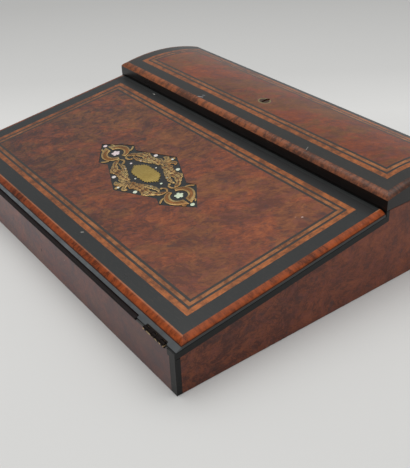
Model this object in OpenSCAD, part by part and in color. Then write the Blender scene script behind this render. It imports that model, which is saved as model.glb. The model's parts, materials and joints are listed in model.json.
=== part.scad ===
// Writing box with a sloping lid at the front and a crowned lid at the back.
// Frame: origin on the table under the middle of the box, +X right, +Y back, +Z up.
// The modules draw with y = 0 at the front face, and seat() moves them to that frame.

/* [Case] */
// Width over the side veneers
case_w = 340; // [310:1:400]
// Depth over the front and back veneers
case_d = 262; // [255:1:300]
// Height of the front wall at its face
front_h = 33; // [31:0.5:45]
// Thickness of a side wall with its veneer
side_t = 8; // [7:0.5:10]
// Thickness of the front wall with its veneer
front_t = 10; // [10:0.5:13]
// Thickness of the back wall with its veneer
back_t = 10; // [10:0.5:13]
// Thickness of the bottom board
bottom_t = 7; // [5:0.5:9]
// Thickness of the partition between the paper well and the pen compartment
partition_t = 6.5; // [6.5:0.5:9]
// Thickness of the veneers and inlays
veneer_t = 0.8; // [0.6:0.1:1]
// Width of a corner string on the front or back face
string_face_w = 6; // [4:0.5:7]
// Width of a corner string on the side face
string_side_w = 4; // [3:0.5:6]
// Height of the ebonised edging on a side wall
edging_h = 4.7; // [3:0.1:6]
// Height of the lower edge of the veneers above the table
veneer_lift = 0.4; // [0.2:0.1:1]

/* [Slope lid] */
// Angle of the writing slope in degrees
slope = 8.2; // [7:0.1:9]
// Thickness of the slope lid with its veneer
lid_t = 4.2; // [4.1:0.1:6]
// Gap between the case and a closed lid
part_gap = 0.4; // [0.3:0.05:0.6]
// Set-back of the lid's lower front edge from the front face
lid_setback = 1.2; // [1:0.1:2]
// Height of the upright lip under the front bevel
lip_h = 0.3; // [0.2:0.1:0.6]
// Distance along the slope to the outer edge of the front bead
bead_s = 4.8; // [3.5:0.1:5.8]
// Gap between the slope lid's back edge and the rear lid
nose_gap = 0.6; // [0.4:0.1:1.5]
// Width of the ebonised strip on the back edge of each lid
back_strip_w = 3; // [2:0.5:5]
// Width of the black border at the back of the slope lid, strip included
slope_back_border = 10.8; // [8:0.1:14]

/* [Rear lid] */
// Depth of the rear lid from its nose to the back of the box
rear_d = 87.5; // [86:0.5:92]
// Height of the crown above the lid's underside
crown_h = 15; // [13:0.1:18]
// Radius of the crown
crown_r = 160; // [150:1:200]
// Distance from the nose to the crest of the crown
crest_in = 39.5; // [36:0.5:44]
// Width of the black border at the back of the rear lid, strip included
rear_back_border = 6; // [5:0.1:9]

/* [Beads and stringing] */
// Width of the bead moulding round the lids
bead_w = 5.5; // [4.5:0.1:6.4]
// Drop of the bead from the veneer to its outer edge
bead_drop = 2.2; // [1.5:0.1:2.6]
// Radius of the bead's round
bead_r = 7; // [6:0.1:12]
// Width of the black border on the front and sides of the slope lid
border_w = 11.1; // [8:0.1:14]
// Width of the black border on the front and sides of the rear lid
rear_border_w = 9.4; // [7:0.1:12]
// Width of the outer light string
outer_string_w = 4.1; // [3:0.1:6]
// Width of the dark line between the light strings
mid_line_w = 1.8; // [1:0.1:2.5]
// Width of the inner light string
inner_string_w = 2.7; // [2:0.1:4]
// Width of the dark line round the burl panel
inner_line_w = 1.9; // [1:0.1:2.5]

/* [Cartouche] */
// Distance of the cartouche in front of the middle of the slope's burl panel
cartouche_off = 0.5; // [0:0.5:6]
// Length of the cartouche from tip to tip
cartouche_l = 136; // [110:1:160]
// Depth of the black ground below the burl
ground_drop = 0.3; // [0.2:0.05:0.4]

/* [Writing surface] */
// Thickness of the leather
leather_t = 0.8; // [0.5:0.1:1]
// Distance from the leather to a front hinge
leather_clear = 10; // [4:1:25]
// Margin of wood behind the leather
leather_margin = 12; // [8:1:25]
// Thickness of the writing flap
flap_t = 5; // [4:0.5:7]
// Clearance round the writing flap
flap_gap = 0.8; // [0.5:0.1:1.5]
// Radius of the leather's fold between the two leaves
fold_r = 0.9; // [0.6:0.1:1]
// Width and depth of the strips that carry the flap
rest_w = 8; // [6:0.5:12]

/* [Hinges] */
// Length of a hinge
hinge_l = 22; // [18:1:30]
// Distance from the side of the box to a front hinge
front_hinge_in = 10; // [9:1:14]
// Distance from the side of the box to a rear hinge
rear_hinge_in = 55; // [40:1:80]
// Radius of a hinge barrel
barrel_r = 1.6; // [1.5:0.1:2]
// Radius of a hinge pin
pin_r = 0.7; // [0.6:0.05:0.8]
// Running clearance of a pin in its knuckles
pin_fit = 0.05; // [0.03:0.01:0.08]
// Thickness of a hinge leaf
leaf_t = 1; // [0.8:0.1:1.1]
// Width of the leaf on the case
case_leaf_w = 8.5; // [7:0.5:9]
// Width of the leaf on a lid
lid_leaf_w = 15; // [15:0.5:18]
// Gap between two knuckles
knuckle_gap = 0.15; // [0.1:0.05:0.3]
// Distance of the front hinge axis behind the front face
front_axis_in = 0.3; // [0.1:0.1:0.4]
// Distance of the rear hinge axis behind the back face
rear_axis_out = 0.1; // [0.05:0.05:0.5]
// Radius of a screw shank
screw_r = 0.8; // [0.6:0.1:0.9]
// Radius of a screw head
screw_head_r = 1.6; // [1.4:0.1:1.8]
// Length of the screws in the case and the rear lid
screw_l = 7; // [5:0.5:8]
// Length of the screws in the slope lid
short_screw_l = 2.8; // [2.2:0.1:3]

/* [Pen compartment] */
// Width of an inkwell cell
cell_w = 36; // [35:1:44]
// Depth of the pen tray and the inkwell cells
cell_d = 35; // [34.5:0.5:38]
// Thickness of the dividers
divider_t = 3; // [2.5:0.5:4]
// Height of the dividers above the bottom board
divider_h = 27; // [20:1:30]
// Height of the pen tray's block
tray_h = 20; // [16:1:24]
// Radius of the pen trough
trough_r = 15; // [14.5:0.5:16]
// Height of the trough's centre above the tray's top
trough_up = 7; // [6.5:0.5:9]
// Length of the solid end of the pen tray
tray_end = 6; // [4:1:12]
// Side of an inkwell's square glass
glass_w = 32; // [28:0.5:33]
// Height of an inkwell's glass
glass_h = 22; // [18:1:24]
// Radius of the ink chamber
chamber_r = 10; // [8:0.5:11]
// Thickness of the glass under the ink chamber
glass_floor = 4; // [3:0.5:6]
// Bevel of the glass's upper edges
glass_bevel = 2.5; // [1.5:0.5:3]
// Outer radius of an inkwell's brass collar
collar_r = 12.5; // [12:0.5:13]
// Height of the collar
collar_h = 3.5; // [3:0.5:5]
// Height of the cap's rim
cap_rim_h = 2; // [1.5:0.5:3]
// Height of the cap's dome above its rim
cap_dome_h = 2.5; // [1.5:0.5:3.5]
// Gap under a closed cap
cap_gap = 0.3; // [0.2:0.05:0.4]

/* [Lock] */
// Width of the lock case
lock_w = 44; // [38:1:50]
// Depth of the lock case from front to back
lock_d = 42; // [40:1:46]
// Height of the lock case
lock_h = 8; // [7.5:0.5:9]
// Distance that the lock case hangs below the rear lid
lock_drop = 6; // [5.5:0.1:6.5]
// Thickness of the lock case's walls
lock_wall = 1.2; // [1:0.1:1.5]
// Clearance of the lock case behind the partition
lock_clear = 0.9; // [0.8:0.1:1.5]
// Travel of the bolt
bolt_travel = 4; // [3:0.5:5]
// Width of the bolt's tongue
bolt_w = 14; // [10:1:18]
// Thickness of the bolt
bolt_t = 2.6; // [2:0.1:3]
// Running clearance of the bolt
bolt_fit = 0.2; // [0.1:0.05:0.3]
// Width of the brass strike plate
strike_w = 30; // [24:1:40]
// Thickness of the strike plate
strike_t = 1; // [0.8:0.1:1.5]
// Distance from the rear lid's nose to the key pin
key_in = 40.5; // [39.5:0.5:42.5]
// Radius of the keyhole's round end
key_r = 1.9; // [1.6:0.1:2.2]
// Width of the keyhole's slot
key_slot_w = 2.2; // [1.8:0.1:2.6]
// Length of the keyhole from the pin to the end of the slot
key_slot_l = 6.2; // [5:0.1:7]
// Length of the escutcheon across the box
scutcheon_l = 18; // [15:0.5:22]
// Depth of the escutcheon
scutcheon_d = 12; // [11:0.5:14]

/* [Hidden] */
$fn = 48;
BURL = [0.46, 0.24, 0.17];
EBONY = [0.10, 0.09, 0.09];
LIGHT = [0.68, 0.38, 0.20];
BRASS = [0.76, 0.64, 0.34];
COPPER = [0.62, 0.34, 0.20];
GROUND_WOOD = [0.48, 0.33, 0.20];
LEATHER = [0.20, 0.08, 0.07];

half_w = case_w / 2;
inner_x = half_w - side_t;
nose_y = case_d - rear_d;
key_y = nose_y + key_in;
// Height of the slope lid's veneer where its plane meets the front face
field_z = front_h + (lid_t + part_gap) / cos(slope);
function case_top(y) = front_h + y * tan(slope);
// The rear lid's underside is level with the slope lid's veneer at the nose
rear_z = field_z + nose_y * tan(slope);
rear_seat = rear_z - part_gap;
inner_back = case_d - back_t;
pen_y = nose_y + partition_t;

// Places in the slope's own frame: s runs up the slope, n stands square to it
function slope_s(y, n) = (y + n * sin(slope)) / cos(slope);
part_n = -lid_t - part_gap;
lid_s0 = slope_s(lid_setback, -lid_t);
lid_s1 = slope_s(nose_y - nose_gap, -lid_t);
field_x = half_w - bead_w;
field_s0 = bead_s + bead_w;
field_s1 = lid_s1 - back_strip_w;
flap_s0 = slope_s(front_t + flap_gap, part_n);
flap_s1 = slope_s(nose_y - flap_gap, part_n - flap_t);

// Crown of the rear lid
crest_y = nose_y + crest_in;
crown_z0 = rear_z + crown_h - crown_r;
function crown_z(y, r) = crown_z0 + sqrt(r * r - (y - crest_y) * (y - crest_y));
back_strip_y = case_d - back_strip_w;

// Hinge axes
front_axis_n = -lid_t - part_gap / 2;
front_axis_s = slope_s(front_axis_in, front_axis_n);
front_hinge_x = half_w - front_hinge_in - hinge_l / 2;
rear_hinge_x = half_w - rear_hinge_in - hinge_l / 2;
rear_axis_y = case_d + rear_axis_out;
rear_axis_z = rear_z - part_gap / 2;
front_axis_y = front_axis_in;
leather_x = front_hinge_x - hinge_l / 2 - leather_clear;
mid_y = (front_axis_y + rear_axis_y) / 2;

// Insets of the rings of stringing from the inner edge of the black border
ring_in = [0, outer_string_w, outer_string_w + mid_line_w,
    outer_string_w + mid_line_w + inner_string_w,
    outer_string_w + mid_line_w + inner_string_w + inner_line_w];
cut = 0.5;
tall = 200;
mitre_gap = 0.05;

// Placing

module seat() { translate([0, -mid_y, 0]) children(); }

// The slope's own frame, with its origin on the lid's veneer above the front face
module on_slope() { translate([0, 0, field_z]) rotate([slope, 0, 0]) children(); }

// Turns a profile drawn as (depth, height) into a bar along X, centred on the box
module along_x(length) { rotate([90, 0, 90]) linear_extrude(length, center = true) children(); }

// The axis of the crown, with the sweep starting at the back
module about_crown() { translate([0, crest_y, crown_z0]) rotate([90, 0, 90]) children(); }

module both_sides() {
    children();
    mirror([1, 0, 0]) children();
}

module box_between(low, high) { translate(low) cube(high - low); }

module rectangle(low, high) { translate(low) square(high - low); }

// Frame between two insets of a rectangle
module ring(low, high, inner, outer) {
    difference() {
        rectangle(low + [inner, inner], high - [inner, inner]);
        rectangle(low + [outer, outer], high - [outer, outer]);
    }
}

// Round of the bead: centre of a circle through p and q that bulges to the left of p to q
function arc_centre(p, q, r) =
    let (d = q - p, h = sqrt(r * r - d * d / 4))
    (p + q) / 2 + h * [d[1], -d[0]] / norm(d);

// Hinges, drawn with the axis on X and the leaves towards +Y

module on_front_hinges() {
    for (side = [-1, 1])
        translate([side * front_hinge_x, 0, 0])
            on_slope() translate([0, front_axis_s, front_axis_n]) children();
}

module on_rear_hinges() {
    for (side = [-1, 1])
        translate([side * rear_hinge_x, rear_axis_y, rear_axis_z]) rotate([0, 0, 180]) children();
}

module bar_x(r, length) { rotate([0, 90, 0]) cylinder(r = r, h = length, center = true); }

knuckles = 5;
knuckle_l = hinge_l / knuckles;

// Knuckles with an even or odd number, a little shortened or lengthened by grow
module knuckle_set(odd, r, grow) {
    for (i = [odd : 2 : knuckles - 1])
        translate([-hinge_l / 2 + (i + 0.5) * knuckle_l, 0, 0])
            bar_x(r, knuckle_l + grow);
}

module screw_places(leaf_w) {
    for (x = [-1, 0, 1])
        translate([x * (hinge_l / 2 - 3.6), leaf_w - 2.8, 0]) children();
}

// Countersunk screw with its head's top at z = 0
module screw(length) {
    translate([0, 0, -leaf_t]) cylinder(r1 = screw_r, r2 = screw_head_r, h = leaf_t);
    translate([0, 0, -length]) cylinder(r = screw_r, h = length - leaf_t);
}

// Leaf below the axis, for the case. up = 1 turns it over for a lid
module hinge_leaf(leaf_w, odd, up) {
    mirror([0, 0, up]) difference() {
        union() {
            translate([-hinge_l / 2, 0, -part_gap / 2 - leaf_t]) cube([hinge_l, leaf_w, leaf_t]);
            knuckle_set(odd, barrel_r, 0);
        }
        knuckle_set(1 - odd, barrel_r + 0.3, knuckle_gap * 2);
        bar_x(pin_r + pin_fit, hinge_l + 2 * cut);
        translate([0, 0, -part_gap / 2]) screw_places(leaf_w) screw(screw_l);
    }
}

// Room for a leaf and the barrel in the wood
module leaf_room(leaf_w, up, length) {
    bar_x(barrel_r + 0.3, hinge_l + 0.6);
    mirror([0, 0, up]) {
        translate([-hinge_l / 2, -barrel_r - 1, -part_gap / 2 - leaf_t])
            cube([hinge_l, leaf_w + barrel_r + 1, leaf_t + part_gap]);
        translate([0, 0, -part_gap / 2]) screw_places(leaf_w) screw(length);
    }
}

module leaf_screws(leaf_w, up, length) {
    mirror([0, 0, up]) translate([0, 0, -part_gap / 2]) screw_places(leaf_w) screw(length);
}

module hinge_pin() { bar_x(pin_r, hinge_l); }

// Case

module corner_strings_solid(grow) {
    both_sides() {
        box_between([half_w - string_face_w, 0, veneer_lift - grow], [half_w, string_side_w, front_h - edging_h]);
        box_between([half_w - string_face_w, case_d - string_side_w, veneer_lift - grow],
            [half_w, case_d, rear_seat]);
    }
}

// Upturned end of the side edging
turn_y = nose_y + 3;

module side_board() {
    difference() {
        translate([half_w - side_t / 2 - veneer_t / 2, 0, 0])
            along_x(side_t - veneer_t) polygon([[0, 0], [case_d, 0], [case_d, rear_seat], [turn_y, rear_seat],
                [turn_y, case_top(turn_y) - edging_h], [0, case_top(0) - edging_h]]);
        box_between([0, -cut, -cut], [half_w, veneer_t, tall]);
        box_between([0, case_d - veneer_t, -cut], [half_w, case_d + cut, tall]);
        corner_strings_solid(veneer_lift);
    }
}

module side_edging() {
    translate([half_w - side_t / 2, 0, 0]) along_x(side_t)
        polygon([[0, case_top(0) - edging_h], [turn_y, case_top(turn_y) - edging_h],
            [turn_y, rear_seat], [nose_y, rear_seat], [nose_y, case_top(nose_y)], [0, case_top(0)]]);
}

module side_veneer() {
    translate([half_w - veneer_t / 2, 0, 0]) along_x(veneer_t)
        polygon([[string_side_w, veneer_lift], [case_d - string_side_w, veneer_lift],
            [case_d - string_side_w, rear_seat], [turn_y, rear_seat],
            [turn_y, case_top(turn_y) - edging_h],
            [string_side_w, case_top(string_side_w) - edging_h]]);
}

module bottom_board() {
    color(GROUND_WOOD)
        box_between([-inner_x, front_t, 0], [inner_x, inner_back, bottom_t]);
}

// Everything that is let into the top of the front wall
module front_wall_rooms() {
    on_front_hinges() leaf_room(case_leaf_w, 0, screw_l);
    on_slope() {
        translate([-leather_x, front_axis_s - 4, part_n - leather_t])
            cube([2 * leather_x, 4 + slope_s(front_t, 0) + 4, leather_t * 2]);
        translate([0, front_axis_s, front_axis_n]) bar_x(fold_r + 0.2, 2 * leather_x);
    }
}

module front_panel() {
    color(GROUND_WOOD) difference() {
        along_x(2 * inner_x)
            polygon([[veneer_t, 0], [front_t, 0], [front_t, case_top(front_t)], [veneer_t, case_top(veneer_t)]]);
        front_wall_rooms();
    }
}

module front_veneer() {
    color(BURL) difference() {
        along_x(2 * (half_w - string_face_w))
            polygon([[0, veneer_lift], [veneer_t, veneer_lift], [veneer_t, case_top(veneer_t)], [0, case_top(0)]]);
        both_sides() side_edging();
        front_wall_rooms();
    }
}

module back_panel() {
    color(GROUND_WOOD) difference() {
        box_between([-inner_x, inner_back, 0], [inner_x, case_d - veneer_t, rear_seat]);
        on_rear_hinges() leaf_room(case_leaf_w, 0, screw_l);
    }
}

module back_veneer() {
    color(BURL) difference() {
        box_between([string_face_w - half_w, case_d - veneer_t, veneer_lift],
            [half_w - string_face_w, case_d, rear_seat]);
        on_rear_hinges() leaf_room(case_leaf_w, 0, screw_l);
    }
}

module left_side() { color(GROUND_WOOD) mirror([1, 0, 0]) side_board(); }
module right_side() { color(GROUND_WOOD) side_board(); }
module left_veneer() { color(BURL) mirror([1, 0, 0]) side_veneer(); }
module right_veneer() { color(BURL) side_veneer(); }
module corner_strings() { color(EBONY) corner_strings_solid(0); }
module side_edgings() { color(EBONY) both_sides() side_edging(); }

bolt_z = rear_z - lock_drop + lock_wall + bolt_fit;
strike_z0 = bolt_z - 7;

module partition() {
    color(EBONY) difference() {
        box_between([-inner_x, nose_y, bottom_t], [inner_x, pen_y, rear_seat]);
        box_between([-strike_w / 2, pen_y - strike_t, strike_z0], [strike_w / 2, pen_y + cut, rear_seat + cut]);
        bolt_mortise(pen_y - strike_t - bolt_travel - 0.5);
    }
}

module bolt_mortise(y0) {
    box_between([-bolt_w / 2 - 3 * bolt_fit, y0, bolt_z - 3 * bolt_fit],
        [bolt_w / 2 + 3 * bolt_fit, pen_y + cut, bolt_z + bolt_t + 3 * bolt_fit]);
}

module strike_plate() {
    color(BRASS) difference() {
        box_between([-strike_w / 2, pen_y - strike_t, strike_z0], [strike_w / 2, pen_y, rear_seat]);
        bolt_mortise(pen_y - strike_t - cut);
    }
}

// Writing surface

module flap_rests() {
    color(GROUND_WOOD) {
        both_sides() on_slope()
            translate([inner_x - rest_w, slope_s(front_t, part_n), part_n - flap_t - rest_w])
                cube([rest_w, slope_s(nose_y - rest_w - 2, part_n) - slope_s(front_t, part_n) - 2, rest_w]);
    }
}

module flap_slab(x, s0, s1, n0, n1) {
    translate([-x, s0, n0]) cube([2 * x, s1 - s0, n1 - n0]);
}

module writing_flap() {
    color(GROUND_WOOD) on_slope() difference() {
        flap_slab(inner_x - flap_gap, flap_s0, flap_s1, part_n - flap_t, part_n);
        flap_slab(leather_x, flap_s0 - cut, flap_s1 - leather_margin, part_n - leather_t, part_n + cut);
    }
}

module flap_leather() {
    color(LEATHER) on_slope() {
        flap_slab(leather_x, front_axis_s, flap_s1 - leather_margin, part_n - leather_t, part_n);
        translate([0, front_axis_s, front_axis_n]) bar_x(fold_r, 2 * leather_x);
    }
}

// Pen compartment

divider_x = inner_x - cell_w - divider_t;
rail_y = pen_y + cell_d;

module pen_tray() {
    color(GROUND_WOOD) difference() {
        box_between([-divider_x, pen_y, bottom_t], [divider_x, rail_y, bottom_t + tray_h]);
        translate([0, pen_y + cell_d / 2, bottom_t + tray_h + trough_up])
            bar_x(trough_r, 2 * (divider_x - tray_end));
    }
}

module compartment_rail() {
    color(GROUND_WOOD) difference() {
        box_between([-inner_x, rail_y, bottom_t], [inner_x, rail_y + divider_t, bottom_t + divider_h]);
        both_sides() box_between([divider_x, rail_y - cut, bottom_t + divider_h / 2],
            [divider_x + divider_t, rail_y + divider_t + cut, bottom_t + divider_h + cut]);
    }
}

module cross_dividers() {
    color(GROUND_WOOD) both_sides() difference() {
        box_between([divider_x, pen_y, bottom_t], [divider_x + divider_t, inner_back, bottom_t + divider_h]);
        box_between([divider_x - cut, rail_y, bottom_t - cut],
            [divider_x + divider_t + cut, rail_y + divider_t, bottom_t + divider_h / 2]);
    }
}

// Inkwells

well_x = inner_x - cell_w / 2;
well_y = pen_y + cell_d / 2;
collar_z = bottom_t + glass_h;
cap_axis_y = collar_r + 1.6;
cap_axis_z = collar_z + collar_h + cap_gap / 2;
cap_pin_r = 0.6;
cap_barrel_r = 1.4;
cap_knuckle_l = 4;

module on_wells() { for (side = [-1, 1]) translate([side * well_x, well_y, 0]) children(); }

module inkwell_bottles() {
    color([0.75, 0.85, 0.85, 0.5]) on_wells() difference() {
        translate([0, 0, bottom_t]) glass_block();
        translate([0, 0, bottom_t + glass_floor]) cylinder(r = chamber_r, h = glass_h);
    }
}

// Block with bevelled upper edges, as two crossed profiles
module glass_block() {
    profile = [[-glass_w / 2, 0], [glass_w / 2, 0], [glass_w / 2, glass_h - glass_bevel],
        [glass_w / 2 - glass_bevel, glass_h], [glass_bevel - glass_w / 2, glass_h],
        [-glass_w / 2, glass_h - glass_bevel]];
    intersection() {
        along_x(glass_w) polygon(profile);
        rotate([90, 0, 0]) linear_extrude(glass_w, center = true) polygon(profile);
    }
}

module inkwell_collars() {
    color(BRASS) on_wells() difference() {
        union() {
            translate([0, 0, collar_z]) cylinder(r = collar_r, h = collar_h);
            for (x = [-1, 1]) translate([x * (cap_knuckle_l + 0.15), 0, 0]) cap_knuckle(collar_z);
        }
        translate([0, 0, collar_z - cut]) cylinder(r = chamber_r, h = collar_h + 2 * cut);
        translate([0, cap_axis_y, cap_axis_z]) bar_x(cap_pin_r + pin_fit, 4 * cap_knuckle_l);
        translate([0, cap_axis_y, cap_axis_z]) bar_x(cap_barrel_r + 0.2, cap_knuckle_l + 0.3);
    }
}

// Ear that carries a knuckle, down to height z0
module cap_knuckle(z0) {
    translate([0, cap_axis_y, cap_axis_z]) bar_x(cap_barrel_r, cap_knuckle_l);
    translate([-cap_knuckle_l / 2, collar_r - 1.5, z0]) cube([cap_knuckle_l, 3.1, cap_axis_z - z0]);
}

module inkwell_pins() {
    color(BRASS) on_wells() translate([0, cap_axis_y, cap_axis_z])
        bar_x(cap_pin_r, 3 * cap_knuckle_l + 0.3);
}

dome_r = (collar_r * collar_r + cap_dome_h * cap_dome_h) / (2 * cap_dome_h);

module inkwell_cap() {
    translate([well_x, well_y, collar_z + collar_h + cap_gap]) difference() {
        union() {
            cylinder(r = collar_r, h = cap_rim_h);
            translate([0, 0, cap_rim_h]) intersection() {
                cylinder(r = collar_r, h = cap_dome_h);
                translate([0, 0, cap_dome_h - dome_r]) sphere(r = dome_r, $fn = 96);
            }
            translate([0, cap_axis_y, -cap_gap / 2]) bar_x(cap_barrel_r, cap_knuckle_l - 0.15);
            translate([-cap_knuckle_l / 2 + 0.075, collar_r - 1.5, 0])
                cube([cap_knuckle_l - 0.15, 3.1, cap_barrel_r - cap_gap / 2]);
            translate([-2, -collar_r - 1.2, 0]) cube([4, 2, cap_rim_h]);
        }
        translate([0, cap_axis_y, -cap_gap / 2]) bar_x(cap_pin_r + pin_fit, 4 * cap_knuckle_l);
        translate([0, 0, -cut]) cylinder(r = chamber_r - 1, h = cut + 1);
        both_sides() translate([cap_knuckle_l / 2 - 0.075, cap_axis_y - 2, -3])
            cube([cap_knuckle_l + 1, 4, 6]);
    }
}

module inkwell_cap_right() { color(BRASS) inkwell_cap(); }
module inkwell_cap_left() { color(BRASS) mirror([1, 0, 0]) inkwell_cap(); }

// Hinges and screws of the case

module front_hinge_leaves() { color(BRASS) on_front_hinges() hinge_leaf(case_leaf_w, 0, 0); }
module front_hinge_pins() { color(BRASS) on_front_hinges() hinge_pin(); }
module back_hinge_leaves() { color(BRASS) on_rear_hinges() hinge_leaf(case_leaf_w, 0, 0); }
module back_hinge_pins() { color(BRASS) on_rear_hinges() hinge_pin(); }

module carcase_screws() {
    color(BRASS) {
        on_front_hinges() leaf_screws(case_leaf_w, 0, screw_l);
        on_rear_hinges() leaf_screws(case_leaf_w, 0, screw_l);
    }
}

// Slope lid

rebate_s = lid_s0 + 1.8;
rebate_n = -lid_t + 1.8;

// Everything that is let into the underside of the slope lid
module slope_lid_rooms() {
    on_front_hinges() leaf_room(lid_leaf_w, 1, short_screw_l);
    on_slope() {
        flap_slab(leather_x, lid_s0 - 2, rebate_s, -lid_t - 2, rebate_n);
        flap_slab(leather_x, lid_s0 - 2, lid_s1 - leather_margin, -lid_t - 2, leather_t - lid_t);
    }
}

module slope_board() {
    color(GROUND_WOOD) difference() {
        on_slope() flap_slab(field_x, field_s0, field_s1, -lid_t, -veneer_t);
        slope_lid_rooms();
    }
}

module slope_edging() {
    color(EBONY) difference() {
        on_slope() {
            along_x(case_w) polygon([[lid_s0, -lid_t], [lid_s0, lip_h - lid_t], [bead_s, -bead_drop],
                [field_s0, -bead_drop], [field_s0, -lid_t]]);
            both_sides() translate([field_x, field_s0, -lid_t])
                cube([bead_w, lid_s1 - field_s0, lid_t - bead_drop]);
            flap_slab(field_x, field_s1, lid_s1, -lid_t, 0);
        }
        slope_lid_rooms();
    }
}

// Plans of one side strip and of the front strip of a bead, with a hairline joint at the mitre
module side_bead_plan(y0, y1) {
    polygon([[half_w, y0 + mitre_gap], [half_w, y1], [field_x, y1], [field_x, y0 + bead_w + mitre_gap]]);
}

module front_bead_plan(y0) {
    polygon([[-half_w, y0], [half_w, y0], [field_x, y0 + bead_w], [-field_x, y0 + bead_w]]);
}

// Section of a flat bead: (distance from the outer edge, height over the veneer)
module bead_section(grow) {
    intersection() {
        translate([-grow, -bead_drop]) square([bead_w + grow, bead_drop * 2]);
        translate(arc_centre([0, -bead_drop], [bead_w, 0], bead_r)) circle(bead_r, $fn = 96);
    }
}

module slope_bead() {
    color(LIGHT) on_slope() {
        intersection() {
            along_x(case_w) translate([bead_s, 0]) bead_section(0);
            linear_extrude(20, center = true) front_bead_plan(bead_s);
        }
        both_sides() intersection() {
            translate([half_w, 0, 0]) rotate([90, 0, 180])
                linear_extrude(tall * 2, center = true) bead_section(0);
            linear_extrude(20, center = true) side_bead_plan(bead_s, lid_s1);
        }
    }
}

slope_low = [-field_x + border_w, field_s0 + border_w];
slope_high = [field_x - border_w, lid_s1 - slope_back_border];

module slope_inlay(t0, t1) { on_slope() translate([0, 0, -t0]) linear_extrude(t0 - t1) children(); }

module slope_border() {
    color(EBONY) slope_inlay(veneer_t, 0) difference() {
        rectangle([-field_x, field_s0], [field_x, field_s1]);
        rectangle(slope_low, slope_high);
    }
}

module slope_ring(i) { slope_inlay(veneer_t, 0) ring(slope_low, slope_high, ring_in[i], ring_in[i + 1]); }
module slope_outer_string() { color(LIGHT) slope_ring(0); }
module slope_mid_line() { color(EBONY) slope_ring(1); }
module slope_inner_string() { color(LIGHT) slope_ring(2); }
module slope_inner_line() { color(EBONY) slope_ring(3); }

// The cartouche is drawn in one quarter, 68 long, then mirrored twice and scaled
cartouche_k = cartouche_l / 136;
cartouche_s = (slope_low[1] + slope_high[1]) / 2 - cartouche_off;
function ground_quarter() = [[68, 0], [44, 17.3], [35.5, 13.8], [0, 30]];
function medallion_quarter() = [[18.4, 0], [16.4, 1], [17.4, 2], [15.4, 3], [16, 4], [13.8, 5], [14, 6.2],
    [11, 6.9], [8, 8.2], [4, 7.6], [0, 8.4]];

// Closed outline made of one quarter, from the X axis to the Y axis, and its mirror images
module four_quarters(quarter) {
    last = len(quarter) - 1;
    half = concat(quarter, [for (i = [last - 1 : -1 : 0]) [-quarter[i][0], quarter[i][1]]]);
    polygon(concat(half, [for (i = [2 * last - 1 : -1 : 1]) [half[i][0], -half[i][1]]]));
}

module mirrored_twice() {
    for (x = [0, 1]) for (y = [0, 1])
        mirror([x, 0]) mirror([0, y]) children();
}

// Leaf or scroll on a curve of four control points: half width w, lobed edges, ends cut back by trim
function curve_at(p, t) = pow(1 - t, 3) * p[0] + 3 * pow(1 - t, 2) * t * p[1]
    + 3 * (1 - t) * t * t * p[2] + t * t * t * p[3];
function curve_side(p, t) =
    let (d = pow(1 - t, 2) * (p[1] - p[0]) + 2 * (1 - t) * t * (p[2] - p[1]) + t * t * (p[3] - p[2]))
    [-d[1], d[0]] / norm(d);
function leaf_half(w, lobes, u) = 0.15 + w * pow(sin(180 * u), 0.5)
    * (lobes == 0 ? 1 : 0.68 + 0.42 * abs(sin(180 * lobes * u)));

module leaf(p, w, lobes, trim, steps) {
    t = [for (i = [0 : steps]) trim + (1 - 2 * trim) * i / steps];
    edge = [for (side = [1, -1]) [for (i = [0 : steps])
        curve_at(p, t[i]) + side * leaf_half(w, lobes, i / steps) * curve_side(p, t[i])]];
    polygon(concat(edge[0], [for (i = [steps : -1 : 0]) edge[1][i]]));
}

function crescent() = [[35, 2.6], [37, 11.6], [52, 11.4], [59.2, 1.2]];
function frame_scroll() = [[15, 11.2], [23, 15.4], [32.4, 12.4], [34.2, 3.4]];

module brass_quarter() {
    intersection() {
        union() {
            leaf(crescent(), 2.9, 0, 0, 14);
            leaf(frame_scroll(), 2.7, 0, 0, 12);
            leaf([[1.6, 13.4], [8, 17.6], [14, 12.4], [20.6, 16.4]], 3.2, 4, 0, 20);
            leaf([[8, 11.2], [16, 11.4], [22, 4.6], [29.6, 7.4]], 1.7, 4, 0, 16);
            leaf([[34.6, 3.8], [32.6, 1], [28.4, 0.8], [27.2, 3.8]], 0.8, 0, 0, 8);
            leaf([[0.6, 14.6], [1, 21], [5, 27], [9, 21]], 2.1, 2, 0, 10);
            leaf([[39, 9.6], [40, 12.6], [41.2, 14.4], [43.4, 15.8]], 0.8, 0, 0, 6);
            leaf([[56, 5], [57.6, 6.2], [59.2, 5.4], [60.2, 3.8]], 0.6, 0, 0, 6);
            translate([27.2, 3.8]) circle(1.1);
        }
        scale(0.97) four_quarters(ground_quarter());
    }
}

module copper_quarter() {
    leaf(crescent(), 1.8, 0, 0.1, 14);
    leaf(frame_scroll(), 1.6, 0, 0.12, 12);
}

// Two five-petalled flowers, and the pearl dots around them as [x, y, radius]
function dots() = [[62.3, 0, 1.9], [20.5, 0, 1.1], [0, 25.2, 1.5], [0, 9.8, 0.8], [15.5, 20, 1.7], [17, 7.6, 0.8]];

module pearls_plan() {
    for (side = [-1, 1]) translate([side * 45, 0]) {
        circle(1.8);
        for (i = [0 : 4]) rotate(90 + 72 * i) translate([2.2, 0]) circle(1.45);
    }
    mirrored_twice() for (p = dots()) translate([p[0], p[1]]) circle(p[2]);
}

module on_cartouche() { translate([0, cartouche_s]) scale(cartouche_k) children(); }

module slope_burl_panel() {
    in = ring_in[4];
    color(BURL) slope_inlay(veneer_t, 0) difference() {
        rectangle(slope_low + [in, in], slope_high - [in, in]);
        on_cartouche() four_quarters(ground_quarter());
    }
}

module cartouche_ground() {
    color(EBONY) slope_inlay(veneer_t, ground_drop) on_cartouche() four_quarters(ground_quarter());
}

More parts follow.
